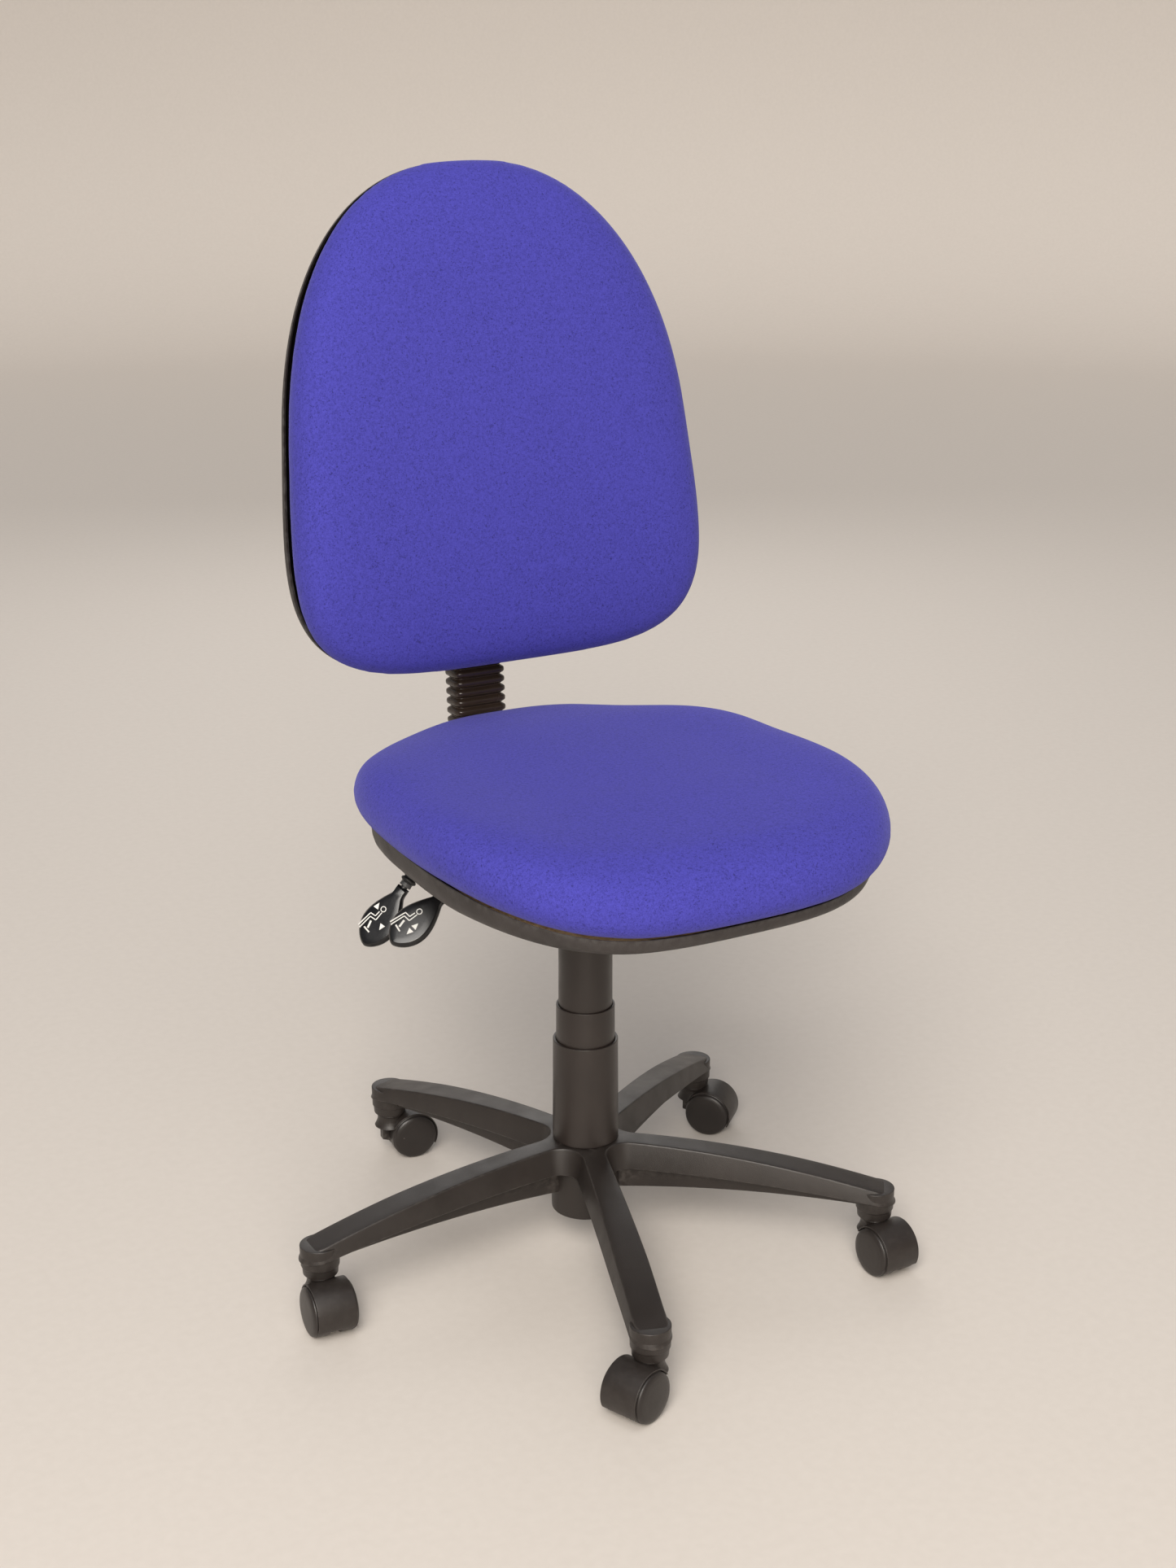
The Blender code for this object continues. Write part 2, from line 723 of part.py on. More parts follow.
def mechanism_housing(lift):
    """A pressed-steel box open at the top, with a flange that the seat bolts to."""
    length = HOUSING_REAR - HOUSING_FRONT
    middle = (HOUSING_REAR + HOUSING_FRONT) / 2.0
    height = FLANGE_TOP - HOUSING_BOTTOM
    body = block((2 * HOUSING_HALF, length, height), (0, middle, HOUSING_BOTTOM + height / 2), 0.004, 1)
    flange_z = FLANGE_TOP - HOUSING_WALL / 2.0
    flange = block((2 * FLANGE_HALF, length - 0.03, HOUSING_WALL), (0, middle, flange_z))
    crop = block((0.3, 0.4, 0.02), (0, 0, FLANGE_TOP + 0.01))
    hollow_size = (2 * (HOUSING_HALF - HOUSING_WALL), length - 2 * HOUSING_WALL, height)
    hollow = block(hollow_size, (0, middle, HOUSING_BOTTOM + HOUSING_WALL + height / 2))
    neck = rod(CYLINDER_RADIUS + 0.0004, HOUSING_BOTTOM - 0.01, HOUSING_BOTTOM + 0.01, ROUND_STEPS)
    slot = block((0.048, 0.02, 0.034), (0, HOUSING_REAR, PIVOT_Z - 0.001))
    across = (0, math.pi / 2.0, 0)
    pin_hole = moved(rod(PIVOT_RADIUS + GAP, -0.07, 0.07), (0, PIVOT_Y, PIVOT_Z), across)
    rod_holes = [
        moved(rod(0.0046, -0.01, 0.01, 8), (LEVER_WALL_X, y, z), across)
        for y, z in ((HEIGHT_LEVER_Y, HEIGHT_LEVER_Z), (TILT_LEVER_Y, TILT_LEVER_Z))
    ]
    bolt_holes = [rod_at(0.0036, x, y, FLANGE_TOP - 0.01, FLANGE_TOP + 0.01) for x, y in bolt_places()]
    solid = cut(union(body, flange), crop, hollow, neck, slot, pin_hole, *rod_holes, *bolt_holes)
    new_part("mechanism_housing", solid, "painted", lift)


def rod_at(radius, x, y, bottom, top):
    return moved(rod(radius, bottom, top, 8), (x, y, 0))


def bolt_places():
    return [(x, y) for y in (BOLT_FRONT, BOLT_REAR) for x in (-BOLT_X, BOLT_X)]


def taper_socket(lift):
    """The socket that grips the cylinder; it stops below the height lever's lowest sweep."""
    floor = HOUSING_BOTTOM + HOUSING_WALL + GAP
    mesh = ring(TAPER_SOCKET_RADIUS, CYLINDER_RADIUS + 0.0004, floor, TAPER_SOCKET_TOP)
    new_part("taper_socket", mesh, "steel", lift)


def seat_bolts(lift):
    """Hexagon-head bolts up through the flange into the plywood."""
    head = FLANGE_TOP - HOUSING_WALL - GAP
    shank = rod(0.0030, head - 0.001, FLANGE_TOP + 0.0070, 8)
    bolt = union(rod(0.0060, head - 0.0042, head, 6), shank)
    names = ("front_right", "front_left", "rear_right", "rear_left")
    for name, (x, y) in zip(names, bolt_places()):
        new_part("seat_bolt_" + name, bolt, "steel", lift, (x, y, 0))


def tilt_pin(lift):
    pin = moved(rod(PIVOT_RADIUS, -0.058, 0.058), (0, 0, 0), (0, math.pi / 2.0, 0))
    new_part("tilt_pivot_pin", pin, "steel", lift, (0, PIVOT_Y, PIVOT_Z))


def tilt_spring(lift):
    """A torsion spring coiled round the pivot pin beside the bar's eye."""
    count = SPRING_TURNS * SPRING_POINTS
    path = []
    for k in range(count + 1):
        angle = math.tau * k / SPRING_POINTS
        along = SPRING_START + SPRING_LENGTH * k / count
        path.append((along, SPRING_RADIUS * math.cos(angle), SPRING_RADIUS * math.sin(angle)))
    spring = wire(path, SPRING_WIRE, smooth=False)
    new_part("tilt_spring", spring, "steel", lift, (0, PIVOT_Y, PIVOT_Z))


# ---------------------------------------------------------------- seat

def seat_curve(across, ahead):
    """Height of the seat's widest line above the floor: raised sides, dropped front."""
    side = SEAT_SIDE_RISE * ramp(abs(across), SEAT_FLAT_HALF, SEAT_HALF) ** 2
    front = SEAT_FRONT_DROP * ramp(ahead, SEAT_FLAT_FRONT, SEAT_FRONT) ** 2
    rear = SEAT_REAR_RISE * ramp(-ahead, SEAT_FLAT_REAR, SEAT_REAR) ** 2
    return SEAT_WIDEST_Z + side - front + rear


def seat_ring(inset, height):
    outline = egg(SEAT_HALF, SEAT_FRONT, SEAT_REAR, SEAT_FRONT_POWER, SEAT_REAR_POWER, SEAT_TAPER, inset)
    return [(p.x, -p.y, seat_curve(p.x, p.y) + height) for p in outline]


def scaled_seat_ring(scale, height):
    outline = egg(SEAT_HALF, SEAT_FRONT, SEAT_REAR, SEAT_FRONT_POWER, SEAT_REAR_POWER, SEAT_TAPER)
    points = [p * scale for p in outline]
    return [(p.x, -p.y, seat_curve(p.x, p.y) + height) for p in points]


def seat_cushion(lift):
    under = -SEAT_UNDER
    crown = SEAT_CROWN
    rings = [
        scaled_seat_ring(0.38, under),
        scaled_seat_ring(0.65, under),
        seat_ring(0.036, under),
        seat_ring(0.019, under),
        seat_ring(0.008, under + 0.006),
        seat_ring(0.000, 0.000),
        seat_ring(0.003, 0.35 * crown),
        seat_ring(0.010, 0.65 * crown),
        seat_ring(0.024, 0.88 * crown),
        scaled_seat_ring(0.78, crown),
        scaled_seat_ring(0.55, 1.06 * crown),
        scaled_seat_ring(0.28, 1.08 * crown),
    ]
    new_part("seat_cushion", loft(rings), "fabric", lift)


def seat_pan(lift):
    top = -SEAT_UNDER - GAP
    bottom = top - PAN_THICKNESS
    rings = [scaled_seat_ring(0.38, top), scaled_seat_ring(0.65, top), seat_ring(0.036, top)]
    rings += [seat_ring(0.036, bottom), scaled_seat_ring(0.65, bottom), scaled_seat_ring(0.38, bottom)]
    holes = [rod_at(0.0034, x, y, FLANGE_TOP - 0.01, FLANGE_TOP + 0.0078) for x, y in bolt_places()]
    new_part("seat_pan", cut(loft(rings), *holes), "wood", lift)


def tray_ring(ring_points, depth):
    """The ring lowered below the tray's rim, by less towards the front."""
    rim = -SEAT_UNDER - SHELL_RIM_GAP
    lowered = []
    for x, y, z in ring_points:
        share = min(1.0, ramp(-y, SHELL_TAPER_FROM, SEAT_FRONT))
        lowered.append((x, y, z + rim - depth * (1.0 - SHELL_TAPER * share)))
    return lowered


def seat_shell(lift):
    """The tray under the plywood, with an opening round the mechanism; it gets shallower to the front."""
    rings = [
        tray_ring(seat_ring(0.0170, 0.0), 0.0),
        tray_ring(seat_ring(0.0174, 0.0), 0.5 * SEAT_SHELL_DEPTH),
        tray_ring(seat_ring(0.0245, 0.0), 0.8 * SEAT_SHELL_DEPTH),
        tray_ring(seat_ring(0.0420, 0.0), SEAT_SHELL_DEPTH),
        tray_ring(scaled_seat_ring(0.62, 0.0), SEAT_SHELL_DEPTH),
        tray_ring(scaled_seat_ring(0.38, 0.0), SEAT_SHELL_DEPTH),
    ]
    length = HOUSING_REAR - HOUSING_FRONT + 0.008
    middle = (HOUSING_REAR + HOUSING_FRONT) / 2.0
    opening = block((2 * HOUSING_HALF + 0.008, length, 0.10), (0, middle, 0.45))
    new_part("seat_shell", cut(skin(rings, SHELL_WALL), opening), "shell", lift)


# ---------------------------------------------------------------- levers

def paddle_mesh():
    """A teardrop paddle along +X with bevelled edges; its face looks along +Z."""
    outline = []
    half_count = 11
    for k in range(half_count):
        share = k / (half_count - 1)
        along = PADDLE_LENGTH * (1.0 - math.cos(math.pi * share)) / 2.0
        lead = min(1.0, along / PADDLE_LENGTH)
        width = PADDLE_HALF_WIDTH * max(0.0, math.sin(math.pi * lead ** 1.45)) ** 0.62
        outline.append((along, max(width, PADDLE_NECK_HALF) if share < 0.5 else width))
    loop = [(x, -y) for x, y in outline] + [(x, y) for x, y in reversed(outline[1:-1])]
    middle = PADDLE_LENGTH * 0.55
    rings = []
    for height, shrink in ((-1.0, 0.72), (-0.25, 1.0), (0.35, 1.0), (1.0, 0.86)):
        z = height * PADDLE_HALF_THICK
        rings.append([(middle + (x - middle) * (0.5 + shrink / 2), y * shrink, z) for x, y in loop])
    return loft(rings)


def aimed(along, face):
    """Rotation that turns +X to the first direction and +Z towards the second."""
    x_axis = Vector(along).normalized()
    y_axis = Vector(face).cross(x_axis).normalized()
    z_axis = x_axis.cross(y_axis)
    return Matrix((x_axis, y_axis, z_axis)).transposed().to_euler()


def lever(parent, name, place_y, place_z, bend_x, drop, run, inner_path):
    """A bent rod through the housing wall with a paddle; its empty is on the lever's hinge axis."""
    axis = new_empty(name + "_axis", parent, (LEVER_WALL_X, place_y, place_z))
    slope = Vector((-math.cos(drop), 0.0, -math.sin(drop)))
    bend = Vector((bend_x - LEVER_WALL_X, 0.0, 0.0))
    reach = bend + slope * (run + PADDLE_GRIP)
    path = [*inner_path, (-0.03, 0, 0), bend + Vector((0.012, 0, 0)), bend, bend + slope * 0.012, reach]
    new_part(name + "_rod", wire(path, LEVER_ROD_RADIUS), "painted", axis)
    upward = Vector((-math.sin(drop), 0.0, math.cos(drop)))
    face = upward * math.cos(PADDLE_TWIST) + Vector((0, -1, 0)) * math.sin(PADDLE_TWIST)
    depth = PADDLE_GRIP + 0.001
    hole = moved(rod(LEVER_ROD_RADIUS + GAP, -0.01, depth), (0, 0, 0), (0, math.pi / 2.0, 0))
    grip = cut(paddle_mesh(), hole)
    new_part(name + "_paddle", grip, "paddle", axis, bend + slope * run, aimed(slope, face))
    return axis, bend, slope


def boot_mesh():
    """A ribbed tapering rubber boot along +X, bored for the lever's rod."""
    ribs = 4
    inner = LEVER_ROD_RADIUS + GAP
    profile = [(inner, BOOT_LENGTH)]
    for k in range(ribs):
        top = BOOT_LENGTH * (1.0 - k / ribs)
        wide = 0.0062 + 0.0022 * (k + 1) / ribs
        profile += [
            (wide - 0.0020, top - 0.0001),
            (wide, top - 0.0028),
        ]
    profile += [(0.0062, 0.0), (inner, 0.0)]
    return moved(turned(profile, 12), (0, 0, 0), (0, math.pi / 2.0, 0))


def levers(lift):
    height_path = ((0.0555, -0.0870, 0), (0.0535, -0.0800, 0), (0.0335, -0.0370, 0),
                   (0.0150, -0.0040, 0), (0.0050, 0, 0))
    axis, bend, slope = lever(lift, "height_lever", HEIGHT_LEVER_Y, HEIGHT_LEVER_Z,
                              HEIGHT_BEND_X, HEIGHT_DROP, 0.0320, height_path)
    boot_turn = aimed(-slope, (0, 1, 0))
    new_part("height_lever_boot", boot_mesh(), "rubber", axis, bend + slope * 0.0310, boot_turn)
    lever(lift, "tilt_lever", TILT_LEVER_Y, TILT_LEVER_Z, TILT_BEND_X, TILT_DROP, 0.0080,
          ((0.0195, 0, 0), (0.0080, 0, 0)))


# ---------------------------------------------------------------- back

def back_bar(tilt):
    """A flat bar from its eye on the pivot pin, back under the seat and up behind it."""
    corner = BAR_Y - (BAR_Z - PIVOT_Z) * math.tan(BAR_LEAN)
    turn = math.pi / 2.0 - BAR_LEAN
    tangent = BAR_BEND_RADIUS * math.tan(turn / 2.0)
    steps = 7
    stations = [(0.0, 0.0, 0.0)]
    for k in range(steps + 1):
        heading = turn * k / steps
        along = corner - tangent - PIVOT_Y + BAR_BEND_RADIUS * math.sin(heading)
        stations.append((along, BAR_BEND_RADIUS * (1.0 - math.cos(heading)), heading))
    top_y = BAR_Y + BAR_TOP * math.sin(BAR_LEAN) - PIVOT_Y
    top_z = BAR_Z + BAR_TOP * math.cos(BAR_LEAN) - PIVOT_Z
    stations.append((top_y, top_z, turn))
    rings = []
    for y, z, heading in stations:
        off_y = -math.sin(heading) * BAR_HALF_THICK
        off_z = math.cos(heading) * BAR_HALF_THICK
        rings.append([
            (-BAR_HALF_WIDTH, y - off_y, z - off_z),
            (BAR_HALF_WIDTH, y - off_y, z - off_z),
            (BAR_HALF_WIDTH, y + off_y, z + off_z),
            (-BAR_HALF_WIDTH, y + off_y, z + off_z),
        ])
    across = (0, math.pi / 2.0, 0)
    eye = moved(rod(0.0095, -BAR_HALF_WIDTH, BAR_HALF_WIDTH, 16), (0, 0, 0), across)
    bore = moved(rod(PIVOT_RADIUS + GAP, -0.03, 0.03), (0, 0, 0), across)
    new_part("back_bar", cut(union(loft(rings), eye), bore), "painted", tilt)


def rounded_ring(halves, height, backset, count=16):
    ring_points = []
    for k in range(count):
        angle = math.tau * (k + 0.5) / count
        x = halves[0] * signed_power(math.cos(angle), 5.0)
        y = halves[1] * signed_power(math.sin(angle), 5.0)
        ring_points.append((x, y + backset, height))
    return ring_points


def bellows(frame):
    """A concertina sleeve over the bar, thick enough to stay one solid."""
    rings = [rounded_ring(BELLOWS_INNER, BELLOWS_BOTTOM, 0.0)]
    pitch = (BELLOWS_TOP - BELLOWS_BOTTOM) / BELLOWS_RIBS
    for k in range(BELLOWS_RIBS):
        low = BELLOWS_BOTTOM + pitch * k
        rings.append(rounded_ring(BELLOWS_VALLEY, low, BELLOWS_BACKSET))
        rings.append(rounded_ring(BELLOWS_RIDGE, low + 0.50 * pitch, BELLOWS_BACKSET))
    rings.append(rounded_ring(BELLOWS_VALLEY, BELLOWS_TOP, BELLOWS_BACKSET))
    rings.append(rounded_ring(BELLOWS_INNER, BELLOWS_TOP, 0.0))
    new_part("bellows", loft(rings, looped=True), "bellows", frame)


def back_outline(inset):
    return egg(BACK_HALF, BACK_UP, BACK_DOWN, BACK_UP_POWER, BACK_DOWN_POWER, -BACK_TAPER, inset)


def back_ring(inset, depth, crown, scale=1.0):
    """A ring of the back cushion; the depth is measured rearwards from its leaning middle plane."""
    points = [p * scale for p in back_outline(inset)]
    return [
        (p.x, BACK_MID_Y + p.y * BACK_LEAN + crown * BACK_CROWN * (p.y / 0.25) ** 2 + depth, p.y)
        for p in points
    ]


def back_cushion(frame):
    thick = BACK_HALF_THICK
    rings = [
        back_ring(0.012, thick, 0.0),
        back_ring(0.004, 0.68 * thick, 0.5),
        back_ring(0.000, 0.20 * thick, 1.0),
        back_ring(0.001, -0.20 * thick, 1.0),
        back_ring(0.006, -0.58 * thick, 1.0),
        back_ring(0.016, -0.84 * thick, 1.0),
        back_ring(0.0, -1.00 * thick, 1.0, 0.80),
        back_ring(0.0, -1.05 * thick, 1.0, 0.55),
        back_ring(0.0, -1.07 * thick, 1.0, 0.28),
    ]
    new_part("back_cushion", loft(rings), "fabric", frame)


def back_panel(frame):
    front = BACK_HALF_THICK + GAP
    rings = [back_ring(0.032, front, 0.0), back_ring(0.032, front + PANEL_THICKNESS, 0.0)]
    new_part("back_panel", loft(rings), "shell", frame)


def shell_ring(inset, share, scale=1.0):
    """A ring of the back shell, between the cushion's rear plane and the shell's flat rear."""
    points = []
    for p in [point * scale for point in back_outline(inset)]:
        plane = BACK_MID_Y + p.y * BACK_LEAN + BACK_HALF_THICK + 0.0008
        points.append((p.x, plane + (BACK_SHELL_REAR - plane) * share, p.y))
    return points


def back_shell(frame):
    rings = [
        shell_ring(0.0030, 0.00),
        shell_ring(0.0036, 0.08),
        shell_ring(0.0085, 0.27),
        shell_ring(0.021, 0.58),
        shell_ring(0.038, 0.86),
        shell_ring(0.038, 0.97, 0.86),
        shell_ring(0.038, 1.00, 0.72),
    ]
    notch = block((0.066, 0.12, 0.13), (0, 0, -0.250))
    new_part("back_shell", cut(skin(rings, SHELL_WALL), notch), "shell", frame)


def back_slider(frame):
    """The ratchet bracket between the panel and the bar, slotted for the bar."""
    rings = []
    for height in (SLIDER_BOTTOM, SLIDER_TOP):
        front = BACK_MID_Y + height * BACK_LEAN + BACK_HALF_THICK + PANEL_THICKNESS + 2.0 * GAP
        rings.append([
            (-SLIDER_HALF, front, height),
            (SLIDER_HALF, front, height),
            (SLIDER_HALF, SLIDER_REAR, height),
            (-SLIDER_HALF, SLIDER_REAR, height),
        ])
    slot = block((2 * (BAR_HALF_WIDTH + GAP), 2 * (BAR_HALF_THICK + GAP), 0.4), (0, 0, -0.12))
    new_part("back_slider", cut(loft(rings), slot), "nylon", frame)


# ---------------------------------------------------------------- assembly

def build_chair():
    frame = new_empty("chair_frame", None, (COLUMN_X, COLUMN_Y, 0))
    base(frame)
    casters(frame)
    middle = new_empty("middle_cover_axis", frame)
    cover("middle_column_cover", MIDDLE_COVER, UPPER_COVER[0] + 0.0005, MIDDLE_COVER[0] + 0.0008, middle)
    swivel = new_empty("seat_swivel_axis", frame)
    piston_rod(swivel)
    lift = new_empty("gas_lift_axis", swivel)
    gas_lift(lift)
    release_button(lift)
    mechanism_housing(lift)
    taper_socket(lift)
    seat_bolts(lift)
    tilt_pin(lift)
    tilt_spring(lift)
    seat_pan(lift)
    seat_shell(lift)
    seat_cushion(lift)
    levers(lift)
    tilt = new_empty("back_tilt_axis", lift, (0, PIVOT_Y, PIVOT_Z))
    back_bar(tilt)
    lean = (-BAR_LEAN, 0, 0)
    carrier = new_empty("bar_frame", tilt, (0, BAR_Y - PIVOT_Y, BAR_Z - PIVOT_Z), lean)
    bellows(carrier)
    backrest = new_empty("back_height_axis", carrier)
    back_slider(backrest)
    back_panel(backrest)
    back_shell(backrest)
    back_cushion(backrest)


clear_scene()
chair = new_collection("swivel_office_chair")
cutters = new_collection("cutters")
build_chair()
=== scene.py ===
"""Looks of the swivel office chair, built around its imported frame.

Units are metres and +Z is up. The sitter faces -Y and +X is the sitter's left.
Shapes are made in the chair's own frame, whose Z axis is the column, and then moved to the column's place.
"""

import math

import bmesh
import bpy
import numpy as np
from mathutils import Matrix, Vector


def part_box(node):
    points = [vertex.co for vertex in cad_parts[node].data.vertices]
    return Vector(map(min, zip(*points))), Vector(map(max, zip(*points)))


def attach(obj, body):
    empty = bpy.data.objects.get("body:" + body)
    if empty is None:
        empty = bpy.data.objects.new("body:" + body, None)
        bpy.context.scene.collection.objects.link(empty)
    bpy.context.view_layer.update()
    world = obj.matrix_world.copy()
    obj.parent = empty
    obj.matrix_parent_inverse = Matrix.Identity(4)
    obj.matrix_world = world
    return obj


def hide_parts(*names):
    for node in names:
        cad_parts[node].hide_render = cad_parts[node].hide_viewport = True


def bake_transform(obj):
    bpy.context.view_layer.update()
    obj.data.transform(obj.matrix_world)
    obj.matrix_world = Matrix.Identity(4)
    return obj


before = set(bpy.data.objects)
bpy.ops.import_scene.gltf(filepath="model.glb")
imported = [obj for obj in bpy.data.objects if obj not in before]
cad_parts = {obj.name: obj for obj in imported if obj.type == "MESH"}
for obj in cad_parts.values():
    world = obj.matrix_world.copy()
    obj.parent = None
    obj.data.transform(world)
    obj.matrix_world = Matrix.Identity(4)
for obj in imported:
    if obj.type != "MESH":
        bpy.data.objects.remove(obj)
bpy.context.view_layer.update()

# The column's axis, taken from the frame.
tube_low, tube_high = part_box("column_tube")
COLUMN = Vector(((tube_low.x + tube_high.x) / 2, (tube_low.y + tube_high.y) / 2, 0))
CHAIR = Matrix.Translation(COLUMN)

# Camera: heading is turned from +Y towards +X.
CAMERA_HEADING = math.radians(29.5)
CAMERA_PITCH = math.radians(18.55)
CAMERA_YAW = math.radians(0.07)
CAMERA_REACH = 2.136
CAMERA_HEIGHT = 1.2275
CAMERA_LENS = 52.59

# Studio floor: flat, then bent up into a low round wall.
SWEEP_RADIUS = 8.0
SWEEP_HEIGHT = 3.4
SWEEP_BEND = 2.6

ROUND_STEPS = 96
OUTLINE_COUNT = 128
SMOOTH_ANGLE = math.radians(38.0)

# Five-star base. CREST and EDGE are plans: half width at the hub and at the tip, and the tip's reach.
ARM_COUNT = 5
FIRST_ARM = math.radians(-180.0)
STEM_CIRCLE = 0.300
BORE = 0.0256
HUB_TOP = 0.128
HUB_BOTTOM = 0.047
CORNER = (0.0494, 0.0359)
CORNER_FROM = math.radians(216.0)
CORNER_SWEEP = math.radians(54.0)
CREST = (0.0120, 0.0160, 0.0160)
EDGE = (0.0180, 0.0205, 0.0215)
ARM_TAPER = (0.05, 0.22)
ARM_TOP_FALL = 0.45
ARM_EDGE_HEIGHT = 0.1005
ARM_EDGE_FALL = 0.30
ARM_WALL = 0.003
ARM_ROOF = 0.0045
CORNER_STEPS = 8
SIDE_STEPS = 16
TIP_STEPS = 10
RIB_FROM = 0.034
RIB_SHORT = 0.014
RIB_STEPS = 18

# Casters: the local +X runs from the stem to the wheels.
CASTERS = {"right": -4.0, "front": -68.0, "front_left": 2.0, "rear_left": 42.0, "rear_right": 84.0}
TRAIL = 0.0225
WHEEL_RADIUS = 0.0255
WHEEL_OUTER = 0.0235
WHEEL_INNER = 0.0052
HOOD_INNER = 0.0259
HOOD_OUTER = 0.0275
HOOD_HALF = 0.0200
HOOD_FROM = math.radians(-28.0)
HOOD_TO = math.radians(150.0)
HOOD_LIP = 0.028
HOOD_STEPS = 40
WEB_HALF = 0.0043

# Back: the bar's frame leans and carries the bellows, shell and cushion.
BAR_LEAN = math.radians(4.0)
BAR_FRAME = CHAIR @ Matrix.Translation((0, 0.2549, 0.8300)) @ Matrix.Rotation(-BAR_LEAN, 4, "X")
BACK_MID_Y = -0.0749
BACK_SLOPE = math.tan(math.radians(6.0))
BACK_CROWN = 0.0165
CROWN_REACH = 0.25
BACK_HALF_THICK = 0.0270
BACK_SHELL_REAR = 0.0185
BACK_SHELL_GAP = 0.0008
BELLOWS_BOTTOM = -0.3700
BELLOWS_TOP = -0.2360
BELLOWS_RIBS = 13
BELLOWS_RIDGE = 0.0300
BELLOWS_VALLEY = 0.0262
BELLOWS_INNER = 0.0225
BELLOWS_FLATTER = 0.0130
BELLOWS_REAR = 0.0020
BELLOWS_SQUARENESS = 5.0
BELLOWS_COUNT = 64
BACK_NOTCH = ((0.066, 0.12, 0.13), (0, 0, -0.250))

# Outlines: half width, reach ahead, reach behind, roundness ahead and behind, and taper over TAPER_REACH.
SEAT_EGG = (0.2315, 0.3110, 0.2080, 2.85, 2.45, 0.080)
BACK_EGG = (0.2215, 0.2625, 0.2400, 2.45, 4.20, -0.110)
TAPER_REACH = 0.25

# Seat: the line round its widest part rises or drops past each FROM; other heights start from that line.
SEAT_LINE = 0.4970
SIDE_RISE, SIDE_FROM = 0.0160, 0.0900
FRONT_DROP, FRONT_FROM = 0.0120, 0.1200
REAR_RISE, REAR_FROM = 0.0120, 0.1350
SEAT_UNDER = -0.0208
SEAT_CROWN = 0.0410
SHELL_WALL = 0.0030
SHELL_DEPTH = 0.0280
SHELL_RIM_GAP = 0.0014
SHELL_TAPER_FROM = 0.1300
SHELL_TAPER = 0.45
SHELL_OPENING = ((0.118, 0.213, 0.10), (0, 0.0275, 0.45))

# Levers on the sitter's right.
LEVER_WALL_X = -0.0535
LEVER_Z = 0.4273
LEVER_ROD = 0.0035
PADDLE_LENGTH = 0.0700
PADDLE_HALF_WIDTH = 0.0190
PADDLE_NECK_HALF = 0.0062
PADDLE_HALF_THICK = 0.0050
PADDLE_TWIST = math.radians(38.0)
PADDLE_STEPS = 24
BEND_EASE = 0.012
ROD_IN_PADDLE = 0.022
BOOT_FOOT = 0.0045
BOOT_TOP = 0.0240
ARROW_REACH = 0.055

# Cloth pass on the cushions.
VOXEL = 0.0050
CLOTH_FRAMES = 20
CLOTH_PRESSURE = 4.0
CLOTH_STIFFNESS = 40.0
CLOTH_CAP = 0.0045
HELD_BAND = 0.004
PAD_GROWTH = 0.0008
EVENING_ROUNDS = 60
SOFTEN_ROUNDS = 8

# Lights: name, kind, place, power, colour, and the sun's angle or the lamp's size.
LIGHT_AIM = 0.5
LIGHTS = (
    ("sun", "SUN", (-2.2, -2.6, 3.6), 1.7, (1.0, 0.955, 0.90), math.radians(30.0)),
    ("key", "AREA", (-1.5, -2.1, 1.9), 26.0, (1.0, 0.94, 0.86), 0.8),
    ("low", "AREA", (-1.7, -3.9, 1.7), 70.0, (1.0, 0.91, 0.80), 1.6),
    ("top", "AREA", (-0.5, -0.9, 2.8), 14.0, (1.0, 0.97, 0.93), 1.4),
    ("rear", "AREA", (1.3, 2.7, 2.0), 16.0, (1.0, 0.98, 0.96), 1.8),
)
SKY_COLOUR = (0.93, 0.95, 1.0, 1.0)
SKY_STRENGTH = 0.27


# ---------------------------------------------------------------- materials

